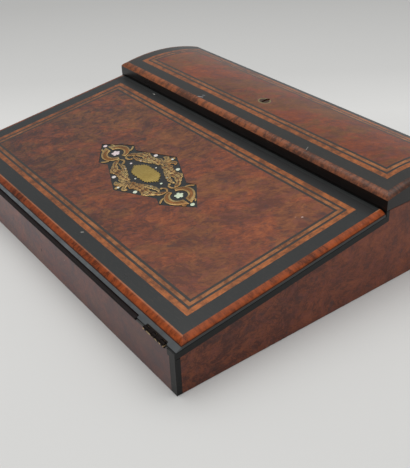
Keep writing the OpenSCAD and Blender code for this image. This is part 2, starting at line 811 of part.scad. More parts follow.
module cartouche_scrolls() {
    color(BRASS) slope_inlay(ground_drop, 0) on_cartouche() difference() {
        mirrored_twice() difference() {
            brass_quarter();
            copper_quarter();
        }
        pearls_plan();
    }
}

module cartouche_copper() {
    color(COPPER) slope_inlay(ground_drop, 0) on_cartouche() mirrored_twice() copper_quarter();
}

module cartouche_medallion() {
    color(BRASS) slope_inlay(ground_drop, 0) on_cartouche() four_quarters(medallion_quarter());
}

module cartouche_pearl() {
    color("white") slope_inlay(ground_drop, 0) on_cartouche() pearls_plan();
}

module lid_leather() {
    color(LEATHER) on_slope()
        flap_slab(leather_x, rebate_s, lid_s1 - leather_margin, -lid_t, leather_t - lid_t);
}

module slope_hinge_leaves() { color(BRASS) on_front_hinges() hinge_leaf(lid_leaf_w, 1, 1); }
module slope_lid_screws() { color(BRASS) on_front_hinges() leaf_screws(lid_leaf_w, 1, short_screw_l); }

// Rear lid

module crown_section(y0, y1, r) {
    intersection() {
        rectangle([y0, rear_z], [y1, rear_z + 2 * crown_h]);
        translate([crest_y, crown_z0]) circle(r, $fn = 360);
    }
}

module keyhole_plan(grow) {
    translate([0, key_y]) {
        circle(key_r + grow);
        translate([-key_slot_w / 2 - grow, -key_slot_l - grow]) square([key_slot_w + 2 * grow, key_slot_l + grow]);
    }
}

module escutcheon_plan() {
    near = scutcheon_d / 2;
    far = scutcheon_l * scutcheon_l / (4 * near);
    r = (near + far) / 2;
    translate([0, key_y - key_slot_l / 2]) intersection() {
        translate([0, near - r]) circle(r, $fn = 96);
        translate([0, r - near]) circle(r, $fn = 96);
    }
}

module lock_block(grow) {
    box_between([-lock_w / 2, pen_y + lock_clear, rear_z - lock_drop - grow],
        [lock_w / 2, pen_y + lock_clear + lock_d, rear_z - lock_drop + lock_h]);
}

module rear_lid_rooms() {
    on_rear_hinges() leaf_room(lid_leaf_w, 1, screw_l);
    lock_block(0);
    translate([0, 0, rear_z]) linear_extrude(tall) keyhole_plan(0.3);
}

module rear_lid_board() {
    color(GROUND_WOOD) difference() {
        along_x(2 * field_x) crown_section(nose_y + bead_w, back_strip_y, crown_r - veneer_t);
        rear_lid_rooms();
    }
}

nose_in_y = nose_y + bead_w;

// Section of the front bead on the crown as (depth, height)
module nose_bead_region(top) {
    polygon([[nose_y, crown_z(nose_y, crown_r - bead_drop)],
        [nose_in_y, crown_z(nose_in_y, crown_r - bead_drop)], [nose_in_y, top], [nose_y, top]]);
}

module rear_edging() {
    color(EBONY) difference() {
        union() {
            along_x(case_w) difference() {
                rectangle([nose_y, rear_z], [nose_in_y, rear_z + crown_h]);
                nose_bead_region(rear_z + 2 * crown_h);
            }
            both_sides() translate([half_w - bead_w / 2, 0, 0])
                along_x(bead_w) crown_section(nose_in_y, case_d, crown_r - bead_drop);
            along_x(2 * field_x) crown_section(back_strip_y, case_d, crown_r);
        }
        on_rear_hinges() leaf_room(lid_leaf_w, 1, screw_l);
    }
}

module rear_bead() {
    color(LIGHT) {
        intersection() {
            along_x(case_w) intersection() {
                nose_bead_region(rear_z + 2 * crown_h);
                translate(arc_centre([nose_y, crown_z(nose_y, crown_r - bead_drop)],
                    [nose_in_y, crown_z(nose_in_y, crown_r)], bead_r)) circle(bead_r, $fn = 96);
            }
            linear_extrude(tall) front_bead_plan(nose_y);
        }
        both_sides() intersection() {
            about_crown() rotate([0, 0, 60]) rotate_extrude(angle = 60, $fn = 360)
                translate([crown_r, half_w]) rotate(-90) bead_section(0);
            linear_extrude(tall) side_bead_plan(nose_y, case_d);
        }
    }
}

rear_low = [-field_x + rear_border_w, nose_in_y + rear_border_w];
rear_high = [field_x - rear_border_w, case_d - rear_back_border];

// Layer of veneer that follows the crown, cut to a plan
module crown_inlay() {
    intersection() {
        translate([0, 0, rear_z]) linear_extrude(2 * crown_h) children();
        translate([0, crest_y, crown_z0]) rotate([90, 0, 90]) linear_extrude(2 * field_x, center = true)
            difference() {
                circle(crown_r, $fn = 360);
                circle(crown_r - veneer_t, $fn = 360);
            }
    }
}

module rear_border() {
    color(EBONY) crown_inlay() difference() {
        rectangle([-field_x, nose_in_y], [field_x, back_strip_y]);
        rectangle(rear_low, rear_high);
    }
}

module rear_ring(i) { crown_inlay() ring(rear_low, rear_high, ring_in[i], ring_in[i + 1]); }
module rear_outer_string() { color(LIGHT) rear_ring(0); }
module rear_mid_line() { color(EBONY) rear_ring(1); }
module rear_inner_string() { color(LIGHT) rear_ring(2); }
module rear_inner_line() { color(EBONY) rear_ring(3); }

module rear_burl_panel() {
    in = ring_in[4];
    color(BURL) crown_inlay() difference() {
        rectangle(rear_low + [in, in], rear_high - [in, in]);
        escutcheon_plan();
    }
}

module keyhole_escutcheon() {
    color(BRASS) crown_inlay() difference() {
        escutcheon_plan();
        keyhole_plan(0);
    }
}

lock_y0 = pen_y + lock_clear;
lock_z0 = rear_z - lock_drop;

module lock_case() {
    color(BRASS) {
        difference() {
            lock_block(0);
            box_between([lock_wall - lock_w / 2, lock_y0 + lock_wall, lock_z0 + lock_wall],
                [lock_w / 2 - lock_wall, lock_y0 + lock_d - lock_wall, lock_z0 + lock_h - lock_wall]);
            box_between([-bolt_w / 2 - bolt_fit, lock_y0 - cut, bolt_z - bolt_fit],
                [bolt_w / 2 + bolt_fit, lock_y0 + lock_wall + cut, bolt_z + bolt_t + bolt_fit]);
            translate([0, 0, lock_z0 + lock_h - lock_wall - cut]) linear_extrude(tall) keyhole_plan(0);
        }
        translate([0, key_y, lock_z0 + lock_wall]) cylinder(r = 1.1, h = lock_h - lock_wall);
    }
}

bolt_body_w = 30;
bolt_body_d = 20;

module lock_bolt() {
    front = lock_y0 + lock_wall + bolt_travel + bolt_fit;
    color("silver") difference() {
        union() {
            box_between([-bolt_w / 2, lock_y0, bolt_z], [bolt_w / 2, front + 1, bolt_z + bolt_t]);
            box_between([-bolt_body_w / 2, front, bolt_z], [bolt_body_w / 2, front + bolt_body_d, bolt_z + bolt_t]);
        }
        translate([0, front + bolt_body_d + 1, bolt_z - cut]) cylinder(r = 4, h = bolt_t + 2 * cut);
    }
}

module rear_hinge_leaves() { color(BRASS) on_rear_hinges() hinge_leaf(lid_leaf_w, 1, 1); }
module rear_lid_screws() { color(BRASS) on_rear_hinges() leaf_screws(lid_leaf_w, 1, screw_l); }

seat() bottom_board();
seat() front_panel();
seat() back_panel();
seat() left_side();
seat() right_side();
seat() partition();
seat() front_veneer();
seat() back_veneer();
seat() left_veneer();
seat() right_veneer();
seat() corner_strings();
seat() side_edgings();
seat() flap_rests();
seat() writing_flap();
seat() flap_leather();
seat() pen_tray();
seat() compartment_rail();
seat() cross_dividers();
seat() strike_plate();
seat() front_hinge_leaves();
seat() front_hinge_pins();
seat() back_hinge_leaves();
seat() back_hinge_pins();
seat() carcase_screws();
seat() inkwell_bottles();
seat() inkwell_collars();
seat() inkwell_pins();
seat() slope_board();
seat() slope_edging();
seat() slope_bead();
seat() slope_border();
seat() slope_outer_string();
seat() slope_mid_line();
seat() slope_inner_string();
seat() slope_inner_line();
seat() slope_burl_panel();
seat() cartouche_ground();
seat() cartouche_scrolls();
seat() cartouche_copper();
seat() cartouche_medallion();
seat() cartouche_pearl();
seat() lid_leather();
seat() slope_hinge_leaves();
seat() slope_lid_screws();
seat() rear_lid_board();
seat() rear_edging();
seat() rear_bead();
seat() rear_border();
seat() rear_outer_string();
seat() rear_mid_line();
seat() rear_inner_string();
seat() rear_inner_line();
seat() rear_burl_panel();
seat() keyhole_escutcheon();
seat() lock_case();
seat() rear_hinge_leaves();
seat() rear_lid_screws();
seat() lock_bolt();
seat() inkwell_cap_left();
seat() inkwell_cap_right();
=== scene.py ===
"""Dresses the writing box: veneers, inlay, fittings, leather, inkwells and lock, on a plain stage."""

import json
import math

import bmesh
import bpy
from mathutils import Matrix, Vector


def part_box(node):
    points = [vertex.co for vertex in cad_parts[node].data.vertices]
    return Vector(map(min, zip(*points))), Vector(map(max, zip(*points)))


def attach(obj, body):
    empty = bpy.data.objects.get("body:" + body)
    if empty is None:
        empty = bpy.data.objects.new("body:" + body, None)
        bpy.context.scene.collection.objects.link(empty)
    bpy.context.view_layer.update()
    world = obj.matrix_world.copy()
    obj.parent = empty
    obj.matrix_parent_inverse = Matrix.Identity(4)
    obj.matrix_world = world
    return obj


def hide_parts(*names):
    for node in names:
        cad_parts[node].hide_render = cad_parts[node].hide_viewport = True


bl_info = {
    "name": "Writing Box",
    "version": (1, 1, 0),
    "blender": (4, 5, 0),
    "location": "View3D > Sidebar > Writing Box",
    "description": "Veneers, inlay, fittings and a plain stage for a writing box with a sloping lid",
    "category": "Object",
}

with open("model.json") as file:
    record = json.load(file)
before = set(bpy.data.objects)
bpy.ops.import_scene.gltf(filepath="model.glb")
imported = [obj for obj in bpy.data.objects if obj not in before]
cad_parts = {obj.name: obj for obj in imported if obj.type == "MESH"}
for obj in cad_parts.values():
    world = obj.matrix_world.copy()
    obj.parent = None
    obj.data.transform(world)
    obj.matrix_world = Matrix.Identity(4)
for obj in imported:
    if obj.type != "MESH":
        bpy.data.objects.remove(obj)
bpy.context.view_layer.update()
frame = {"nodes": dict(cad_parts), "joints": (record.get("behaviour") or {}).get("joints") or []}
MM = 0.001

# Places on the hinges' axes
HINGE_PLACES = {joint["name"]: Vector(joint["pos_m"])
                for joint in frame["joints"] if joint["type"] == "hinge"}

# The slope's angle, and the thickness of the black ground that lies flush in its top
SLOPE = math.radians(8.2)
TILT = Matrix.Rotation(SLOPE, 4, "X")
GROUND_THICKNESS = 1.1 * MM


def cartouche_middle():
    """Middle of the cartouche, on the slope's top."""
    low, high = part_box("cartouche_ground")
    return (low + high) / 2 + TILT @ Vector((0, 0, GROUND_THICKNESS / 2))


def slope_front():
    """Front edge of the slope's top, straight above the face of the front veneer."""
    middle = cartouche_middle()
    reach = middle.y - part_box("front_veneer")[0].y
    return middle - Vector((0, reach, reach * math.tan(SLOPE)))


SLOPE_PLACE = Matrix.Translation(slope_front()) @ TILT
CARTOUCHE_PLACE = Matrix.Translation(cartouche_middle()) @ TILT @ Matrix.Scale(MM, 4)


class Value:
    """A number that varies over a surface. Arithmetic on it adds Math nodes."""

    def __init__(self, tree, socket):
        self.tree = tree
        self.socket = socket

    def math(self, operation, *others, clamp=False):
        settings = {"operation": operation, "use_clamp": clamp}
        return self.tree.node("ShaderNodeMath", settings, self, *others).value(0)

    def __add__(self, other):
        return self.math("ADD", other)

    __radd__ = __add__

    def __sub__(self, other):
        return self.math("SUBTRACT", other)

    def __rsub__(self, other):
        return (self * -1.0).math("ADD", other)

    def __mul__(self, other):
        return self.math("MULTIPLY", other)

    def __truediv__(self, other):
        return self.math("DIVIDE", other)

    def __pow__(self, other):
        return self.math("POWER", other)

    def __abs__(self):
        return self.math("ABSOLUTE")

    def above(self, other):
        return self.math("GREATER_THAN", other)

    def clamped(self):
        return self.math("ADD", 0.0, clamp=True)

    def least(self, other):
        return self.math("MINIMUM", other)

    def ease(self, low, high):
        """0 at low and under, 1 at high and over, smooth between."""
        inputs = {"Value": self, "From Min": low, "From Max": high, "To Min": 0.0, "To Max": 1.0}
        return self.tree.node("ShaderNodeMapRange", {"interpolation_type": "SMOOTHSTEP"}, **inputs).value(0)

    def band(self, middle, half):
        """1 where the value is within half of middle, with soft edges."""
        return 1 - abs(self - middle).ease(half * 0.6, half)


class Outputs:
    """The outputs of one node."""

    def __init__(self, tree, node):
        self.tree = tree
        self.node = node

    def value(self, key):
        return Value(self.tree, self.node.outputs[key])


class NodeTree:
    """Adds nodes to one node tree and links them."""

    def __init__(self, tree):
        self.tree = tree

    def plug(self, socket, value):
        if isinstance(value, Value):
            self.tree.links.new(value.socket, socket)
        elif socket.type == "RGBA" and len(value) == 3:
            socket.default_value = (*value, 1.0)
        else:
            socket.default_value = value

    def node(self, kind, settings=None, *values, **named):
        """Adds one node: its settings first, then the values or links of its sockets."""
        node = self.tree.nodes.new(kind)
        for key, value in (settings or {}).items():
            if key == "stops":
                ramp = node.color_ramp
                while len(ramp.elements) < len(value):
                    ramp.elements.new(0.5)
                for stop, (at, colour) in zip(ramp.elements, value):
                    stop.position = at
                    stop.color = (*colour, 1.0)
            else:
                setattr(node, key, value)
        for socket, value in zip(node.inputs, values):
            self.plug(socket, value)
        for key, value in named.items():
            self.plug(node.inputs[key], value)
        return Outputs(self, node)

    def axes(self, place):
        parts = self.node("ShaderNodeSeparateXYZ", None, place)
        return [parts.value(i) for i in range(3)]

    def ramp(self, value, *stops):
        return self.node("ShaderNodeValToRGB", {"stops": stops}, value).value(0)


class Finish(NodeTree):
    """A material under construction on one Principled shader."""

    def __init__(self, name, **shader):
        self.material = bpy.data.materials.new(name)
        self.material.use_nodes = True
        super().__init__(self.material.node_tree)
        self.tree.nodes.clear()
        self.shader = self.tree.nodes.new("ShaderNodeBsdfPrincipled")
        out = self.tree.nodes.new("ShaderNodeOutputMaterial")
        self.tree.links.new(self.shader.outputs[0], out.inputs["Surface"])
        self.set(**shader)
        self.place = self.node("ShaderNodeTexCoord").value("Object")

    def set(self, **sockets):
        for key, value in sockets.items():
            self.plug(self.shader.inputs[key.replace("_", " ")], value)

    def vector(self, operation, *values, result="Vector", **named):
        """One step of arithmetic on places."""
        return self.node("ShaderNodeVectorMath", {"operation": operation}, *values, **named).value(result)

    def at(self, shift=(0, 0, 0), scale=(1, 1, 1), turn=(0, 0, 0), place=None):
        """The place moved, turned and stretched."""
        return self.node("ShaderNodeMapping", None, Vector=place or self.place, Location=shift,
                         Rotation=turn, Scale=scale).value(0)

    def on_slope(self):
        """The place in the slope's own frame: across, up the slope, out of the slope."""
        moved = self.at(tuple(-c for c in SLOPE_PLACE.translation))
        return self.at(turn=(-SLOPE, 0, 0), place=moved)

    def level(self, axis, start, end):
        """0 to 1 between two places along an axis, which are given in mm."""
        start, end = start * MM, end * MM
        return ((self.axes(self.place)["xyz".index(axis)] - start) / (end - start)).clamped()

    def noise(self, place, scale, detail=4.0, roughness=0.55, distortion=0.0):
        """Noise about 0.5, with scale waves to the metre."""
        return self.node("ShaderNodeTexNoise", None, Vector=place, Scale=scale, Detail=detail,
                         Roughness=roughness, Distortion=distortion).value(0)

    def patches(self, scale, between, detail=4.0, roughness=0.55, shift=None, place=None):
        """Scattered patches of noise: 0 where it is under the first value of between, 1 above the second."""
        place = self.at(shift, place=place) if shift else place or self.place
        return self.noise(place, scale, detail, roughness).ease(*between)

    def warped(self, place, scale, amount):
        """The place pushed about by a slow noise."""
        push = self.node("ShaderNodeTexNoise", None, Vector=place, Scale=scale, Detail=2.0).value(1)
        centred = self.vector("SUBTRACT", push, (0.5, 0.5, 0.5))
        return self.vector("ADD", place, self.vector("SCALE", centred, Scale=amount))

    def spots(self, place, scale, low, high):
        """1 in the middle of scattered cells, 0 away from them."""
        cell = self.node("ShaderNodeTexVoronoi", {"feature": "F1"}, Vector=place, Scale=scale).value(0)
        return 1 - cell.ease(low, high)

    def mix(self, factor, a, b, blend="MIX"):
        node = self.tree.nodes.new("ShaderNodeMix")
        node.data_type = "RGBA"
        node.blend_type = blend
        self.plug(node.inputs[0], factor)
        self.plug(node.inputs[6], a)
        self.plug(node.inputs[7], b)
        return Value(self, node.outputs[2])

    def bump(self, height, distance, strength=1.0):
        normal = self.node("ShaderNodeBump", None, Height=height, Distance=distance, Strength=strength)
        self.set(Normal=normal.value(0))

    def mark(self, start, end, width):
        """1 on a short ragged mark between two points, 0 off it, all given in mm."""
        start, end, width = Vector(start) * MM, Vector(end) * MM, width * MM
        along = end - start
        offset = self.vector("SUBTRACT", self.place, tuple(start))
        per_length = tuple(along / along.length_squared)
        run = self.vector("DOT_PRODUCT", offset, per_length, result="Value").clamped()
        reach = self.vector("SCALE", tuple(along), Scale=run)
        gap = self.vector("DISTANCE", offset, reach, result="Value")
        gap = gap + (self.noise(self.place, 900.0, 3.0, 0.7) - 0.5) * (width * 0.8)
        return 1 - gap.ease(width * 0.45, width)

    def marked(self, tint, rough, marks, dulling):
        """Adds marks = (start, end, width, tint, strength) to a tint, and dulls the surface at them."""
        for start, end, width, mark_tint, strength in marks:
            mark = self.mark(start, end, width)
            tint = self.mix(mark * strength, tint, mark_tint)
            rough = rough + mark * dulling
        return tint, rough

    def blackened(self, tint, rim, black):
        """Paints a wall black above the height rim, as painted shade in a gap."""
        height = self.axes(self.place)[2]
        return self.mix(height.ease(rim, rim + 0.5 * MM), tint, black)


def toned(colour, tone):
    """A colour times one number, or times a number for each channel."""
    tones = tone if isinstance(tone, tuple) else (tone,) * 3
    return tuple(c * k for c, k in zip(colour, tones))


# Shine of the usual polish, and tints of the burl's dark marks, of wear, ink and gilt, and of painted shade,
# painted highlights and painted reflection
LACQUER = {"Specular_IOR_Level": 0.36}
SMUDGE, BLUSH = (0.036, 0.019, 0.020), (0.15, 0.042, 0.036)
# Painted shade in the gap under the slope lid, on burl and on plain wood
BURL_GAP_SHADE, TIMBER_GAP_SHADE = (0.004, 0.003, 0.003), (0.007, 0.006, 0.006)
# Rubbed patches on black, and painted shade where the dark riser is reflected in the slope's border
RUBBED_BLACK, RISER_SHADE_BLACK = (0.035, 0.026, 0.02), (0.0005, 0.0005, 0.0005)
# Painted grey reflection on the slope lid's bevel, and its darker right end
LIP_SHEEN_GREYS, LIP_END_SHEEN = ((0.06, 0.068, 0.075), (0.115, 0.128, 0.135)), (0.022, 0.025, 0.027)
# Painted highlight on the bead's inner edge, painted glints on it, and painted shade along its outer edge
EDGE_HIGHLIGHT, GLINT_TINT, EDGE_SHADE = (0.40, 0.2, 0.11), (0.6, 0.38, 0.24), (0.010, 0.006, 0.004)
INK = (0.012, 0.012, 0.02)
# Gilt, and the leather fold's painted shadow under the lid's lip and its browned leather darkened by painted
# shade
GILT, FOLD_SHADOW, FOLD_SHADED_BROWN = (0.42, 0.27, 0.08), (0.002, 0.0015, 0.0015), (0.035, 0.013, 0.012)

# The turn of the burl's figure about the vertical, and the middle of the values that it is drawn from
FIGURE_TURN, FIGURE_MIDDLE = -0.95, 0.515


def burl(name, tones, shift=(0, 0, 0), depth=1.0, brown=0.75, marks=(), rim=None, shade_sweeps=(), spread=0.075,
         **shader):
    """Burl veneer: drawn-out clouds, dark ragged smudges, curled fibre and grouped eyes under dulled polish.
    depth = strength of the dark figure, brown = strength of the brown areas, rim = height above which a wall
    is painted black as painted shade in the gap under the slope lid, sweeps = (axis, start, end, tone at
    start, tone at end) of painted light and shade that brighten or darken the wood slowly along it, in mm.
    The wood's figure also grows calmer along the first of them. A wide spread keeps the figure faint."""
    dark, middle, light, olive = tones
    f = Finish(name, **shader)
    drawn_out = f.at(scale=(0.74, 1.0, 1.0), place=f.at(shift, turn=(0, 0, FIGURE_TURN)))
    place = f.warped(drawn_out, 34.0, 16 * MM)
    clouds = f.noise(place, 36.0, 5.0, 0.6)
    hue = f.patches(33.0, (0.46, 0.54), 6.0, 0.68, (0.37, 0.11, 0.2), place)
    mottle = f.noise(f.warped(place, 120.0, 6 * MM), 125.0, 6.0, 0.68, 0.5)
    curl = f.noise(f.warped(f.at(scale=(0.6, 1.0, 1.0), place=place), 150.0, 7 * MM), 330.0, 4.0, 0.6, 1.8)
    fibre = f.noise(f.at(scale=(0.3, 1.0, 1.0), place=place), 1300.0, 3.0, 0.65)
    tone = clouds * 0.28 + mottle * 0.4 + curl * 0.3 + fibre * 0.2 - 0.09
    low, high = FIGURE_MIDDLE - spread, FIGURE_MIDDLE + spread
    figure = f.ramp(tone, (low, dark), (FIGURE_MIDDLE, middle), (high, light))
    duller = f.ramp(tone, (low, toned(dark, 0.9)), (FIGURE_MIDDLE, olive), (high, toned(olive, 1.5)))
    colour = f.mix(hue * brown, figure, duller)
    ragged = f.warped(f.warped(place, 260.0, 5 * MM), 700.0, 2 * MM)
    grouped = f.patches(36.0, (0.5, 0.6), 3.0, 0.6, (0.2, 0.6, 0.1), place)
    knots = f.spots(ragged, 120.0, 0.12, 0.36) * grouped
    flocked = f.patches(55.0, (0.5, 0.62), 2.0, shift=(0.7, 0.1, 0.4), place=place)
    eyes = f.spots(ragged, 260.0, 0.08, 0.34) * flocked
    smudges = f.patches(105.0, (0.55, 0.64), 7.0, 0.72, (0.3, 0.1, 0.2), place)
    blots = f.spots(f.warped(place, 200.0, 4 * MM), 95.0, 0.06, 0.42)
    blots = blots * f.patches(30.0, (0.46, 0.56), 2.0, place=place)
    blush = f.patches(210.0, (0.52, 0.62), 4.0, 0.6, (0.9, 0.5, 0.3), place)
    colour = f.mix(blush * 0.35, colour, BLUSH)
    shade = (smudges * 0.42 + knots * 0.74 + eyes * 0.66 + blots * 0.4).clamped() * depth
    levels = [f.level(axis, start, end) for axis, start, end, _, _ in shade_sweeps]
    if levels:
        shade = shade * (1.1 - levels[0] * 0.4)
        colour = f.mix(levels[0] * 0.34, colour, middle)
    colour = f.mix(shade, colour, SMUDGE)
    # Painted light and shade: each sweep brightens or darkens the colour slowly along the wood
    for level, (_, _, _, first, last) in zip(levels, shade_sweeps):
        colour = f.mix(1.0, colour, f.ramp(level, (0.0, (first,) * 3), (1.0, (last,) * 3)), "MULTIPLY")
    colour, rough = f.marked(colour, 0.24 + mottle * 0.14, marks, 0.2)
    # Painted shade in the gap under the slope lid, above the rim
    if rim:
        colour = f.blackened(colour, rim, BURL_GAP_SHADE)
    f.set(Base_Color=colour, Roughness=rough)
    f.bump(fibre * 0.5 + curl * 0.5 + (eyes + knots) * -0.5, 0.05 * MM, 0.3)
    return f.material


def black_pores(f, shift=(0, 0, 0)):
    """Gives a finish the faint pores of black-stained wood."""
    pores = f.noise(f.at(shift, (0.15, 1.0, 1.0)), 1400.0, 3.0, 0.6)
    f.bump(pores, 0.03 * MM, 0.2)
    return pores


def ebonised(name, colour, shift=(0, 0, 0), marks=(), shade_from=None, **shader):
    """Black-stained polished wood with faint pores, haze, rubbed patches and hairline scratches. Behind the
    depth shade_from it is painted blacker, as painted shade where the dark riser is reflected in it, and
    duller."""
    f = Finish(name, **shader)
    pores = black_pores(f, shift)
    haze = f.noise(f.at(shift), 40.0, 4.0, 0.6)
    scratches = f.patches(1600.0, (0.7, 0.78), 2.0, place=f.at(shift, (1.0, 0.05, 1.0), (0, 0, 0.7)))
    rubbed = f.patches(95.0, (0.6, 0.72), 5.0, 0.7, shift)
    tint = f.mix(pores.ease(0.5, 0.75), colour, toned(colour, (2.0, 1.6, 1.4)))
    tint = f.mix(rubbed * 0.5, tint, RUBBED_BLACK)
    rough = 0.22 + haze * 0.16 + scratches * 0.12 + rubbed * 0.06
    # Painted shade: blacker and duller behind the given depth, where the dark riser is reflected
    if shade_from:
        corner = f.axes(f.place)[1].ease(shade_from, shade_from + 8 * MM)
        tint = f.mix(corner * 0.9, tint, RISER_SHADE_BLACK)
        rough = rough + corner * 0.12
    tint, rough = f.marked(tint, rough, marks, 0.25)
    f.set(Base_Color=tint, Roughness=rough.clamped())
    return f.material


def lip_with_painted_sheen(name, colour):
    """Black edging of the slope lid, with a painted grey reflection on the bevel below the front bead that
    fades towards the right end, and matt there.
    """
    f = Finish(name)
    black_pores(f)
    across, up, _ = f.axes(f.on_slope())
    patches = f.noise(f.place, 120.0, 5.0, 0.65)
    front = 1 - up.ease(4.6 * MM, 5.2 * MM)
    # Painted reflection: grey on the bevel, fading towards the right end
    grey = f.ramp(patches, *zip((0.35, 0.65), LIP_SHEEN_GREYS))
    grey = f.mix(across.ease(-60 * MM, 165 * MM) * 0.65, grey, LIP_END_SHEEN)
    f.set(Base_Color=f.mix(front, colour, grey), Roughness=(0.24 + patches * 0.16 + front * 0.2).clamped())
    return f.material


def stringing(name, colour, dark, around, across=False, rubbed=None, sides=1.0, spread=0.075,
              ends=((0.82, 0.82, 0.86), (1.12, 1.12, 1.06)), **shader):
    """Orange-brown banding whose grain turns at the mitres of around = (middle x, middle y, half width, half
    depth). across = True sets the grain across the banding, as in a cross-cut bead, rubbed = (start up the
    slope, width) gives the bead a painted highlight along its inner edge with painted glints near it and a
    painted shade line along its outer edge, sides is the tone of the two strips that run from front to back,
    painted shade where it is under 1, and ends has the tones at the left and right. A wide spread keeps the
    figure faint."""
    f = Finish(name, **shader)
    x, y, _ = f.axes(f.place)
    lengthwise, crosswise = [f.noise(f.at(scale=scale), 1100.0, 4.0, 0.65)
                             for scale in ((0.1, 1, 1), (1, 0.1, 1))]
    middle_x, middle_y, half_width, half_depth = around
    on_side = (abs(x - middle_x) - half_width).above(abs(y - middle_y) - half_depth)
    first, second = (crosswise, lengthwise) if across else (lengthwise, crosswise)
    fibre = first * (1 - on_side) + second * on_side
    flame = f.noise(f.warped(f.place, 90.0, 8 * MM), 170.0, 5.0, 0.66)
    if across:
        stripes = [f.noise(f.at((0.1, 0.3, 0), scale), 260.0, 4.0, 0.6)
                   for scale in ((1, 0.12, 1), (0.12, 1, 1))]
        flame = flame * 0.35 + (stripes[0] * (1 - on_side) + stripes[1] * on_side) * 0.65
    patch = f.noise(f.place, 26.0, 4.0, 0.6)
    tone = flame * 0.5 + fibre * 0.22 + patch * 0.28
    tint = f.ramp(tone, (0.5 - spread, dark), (0.5, colour), (0.5 + spread, toned(colour, 1.45)))
    worn = f.patches(420.0, (0.64, 0.72), 4.0, 0.7, (0.3, 0.3, 0.3))
    tint = f.mix(worn * 0.6, tint, toned(dark, 0.4))
    fade = f.ramp(x.ease(-160 * MM, 170 * MM), *zip((0.0, 1.0), ends))
    tint = f.mix(1.0, tint, fade, "MULTIPLY")
    # Painted shade on the two strips that run from front to back
    if sides != 1.0:
        tint = f.mix(on_side, tint, f.mix(1.0, tint, (sides,) * 3, "MULTIPLY"))
    # Painted highlight along the inner edge, painted glints near it, and painted shade along the outer edge
    if rubbed:
        start, width = rubbed
        across_slope, up, _ = f.axes(f.on_slope())
        inside = (half_width - abs(across_slope)).least(up - start)
        edge = inside.band(width - 0.4 * MM, 0.8 * MM) * (0.1 + patch * 0.55) * (1 - on_side * 0.85)
        tint = f.mix(edge, tint, EDGE_HIGHLIGHT)
        glints = f.patches(1000.0, (0.67, 0.72), 3.0, 0.6, (0.8, 0.1, 0.6))
        glints = glints * inside.band(width * 0.62, 1.6 * MM) * patch.ease(0.5, 0.6)
        tint = f.mix(glints * 0.6, tint, GLINT_TINT)
        tint = f.mix((1 - inside.ease(0.2 * MM, 0.9 * MM)) * 0.85, tint, EDGE_SHADE)
    f.set(Base_Color=tint, Roughness=0.24 + fibre * 0.14)
    f.bump(fibre, 0.03 * MM, 0.3)
    return f.material


def timber(name, colour, dark, along="X", roughness=0.45, inked=False, rim=None):
    """Plain open-pored ground wood with its grain along X or Y. The pen tray's wood is spotted with ink, and
    the front wall's is painted black above the height rim, as painted shade in the gap under the slope lid."""
    f = Finish(name, Specular_IOR_Level=0.4)
    stretch = {"X": (0.06, 1, 1), "Y": (1, 0.06, 1)}[along]
    bands = f.noise(f.at(scale=stretch, place=f.warped(f.place, 12.0, 10 * MM)), 160.0, 5.0, 0.6, 0.6)
    pores = f.patches(1500.0, (0.56, 0.7), 3.0, 0.6, place=f.at(scale=stretch))
    ripple = f.noise(f.place, 55.0, 3.0, 0.55)
    tint = f.ramp(bands * 0.7 + ripple * 0.3, (0.36, dark), (0.5, colour), (0.66, toned(colour, 1.3)))
    tint = f.mix(pores * 0.55, tint, toned(dark, 0.5))
    grime = f.patches(30.0, (0.5, 0.75), 5.0, 0.65, (0.5, 0.2, 0.1))
    tint = f.mix(grime * 0.4, tint, toned(dark, 0.55))
    if inked:
        drops = f.spots(f.warped(f.place, 300.0, 2 * MM), 75.0, 0.1, 0.16) * f.patches(25.0, (0.5, 0.6))
        tint = f.mix(drops * 0.85, tint, INK)
    # Painted shade in the gap under the slope lid, above the rim
    if rim:
        tint = f.blackened(tint, rim, TIMBER_GAP_SHADE)
    f.set(Base_Color=tint, Roughness=roughness + pores * 0.15 + grime * 0.1)
    f.bump(pores * -1.0 + bands * 0.3, 0.08 * MM, 0.5)
    return f.material


def metal(name, colour, tarnish, roughness=0.3, spread=0.5, brushed=(0.08, 1.0, 1.0)):
    """Dulled metal: fine lines stretched by brushed, a slow change of tarnish, small stains and dark specks.
    A wide spread lets the tarnish come on slowly."""
    f = Finish(name, Metallic=1.0)
    slow = f.noise(f.warped(f.place, 80.0, 6 * MM), 60.0, 5.0, 0.6)
    stains = f.noise(f.place, 330.0, 5.0, 0.65)
    lines = f.noise(f.at(scale=brushed), 3000.0, 2.0)
    pits = f.patches(900.0, (0.64, 0.74), 3.0, 0.6, (0.2, 0.7, 0.4))
    age = (slow * 0.7 + stains * 0.3).ease(0.5 - spread * 0.25, 0.5 + spread * 0.35)
    tint = f.mix(age, colour, tarnish)
    f.set(Base_Color=f.mix(pits * 0.5, tint, toned(tarnish, 0.35)),
          Roughness=roughness + age * 0.16 + lines * 0.08 + pits * 0.1)
    f.bump(lines - pits * 0.6, 0.02 * MM, 0.25)
    return f.material


def pearl(name, colour):
    """Mother of pearl: pale, with slow green and pink sheets."""
    f = Finish(name, Specular_IOR_Level=0.7, Coat_Roughness=0.08)
    sheets = f.noise(f.warped(f.place, 120.0, 4 * MM), 420.0, 3.0, 0.6, 1.2)
    side = f.axes(f.place)[0].ease(-50 * MM, 50 * MM)
    pink, green = toned(colour, (1.06, 0.86, 1.02)), toned(colour, (0.88, 1.0, 0.84))
    tint = f.ramp(sheets * 0.3 + side * 0.5, (0.2, pink), (0.4, colour), (0.6, green))
    tint = f.mix(f.patches(90.0, (0.5, 0.7), 1.0) * 0.4, tint, toned(colour, 0.6))
    f.set(Base_Color=tint, Roughness=0.16 + sheets * 0.14, Coat_Weight=sheets * 0.6)
    return f.material


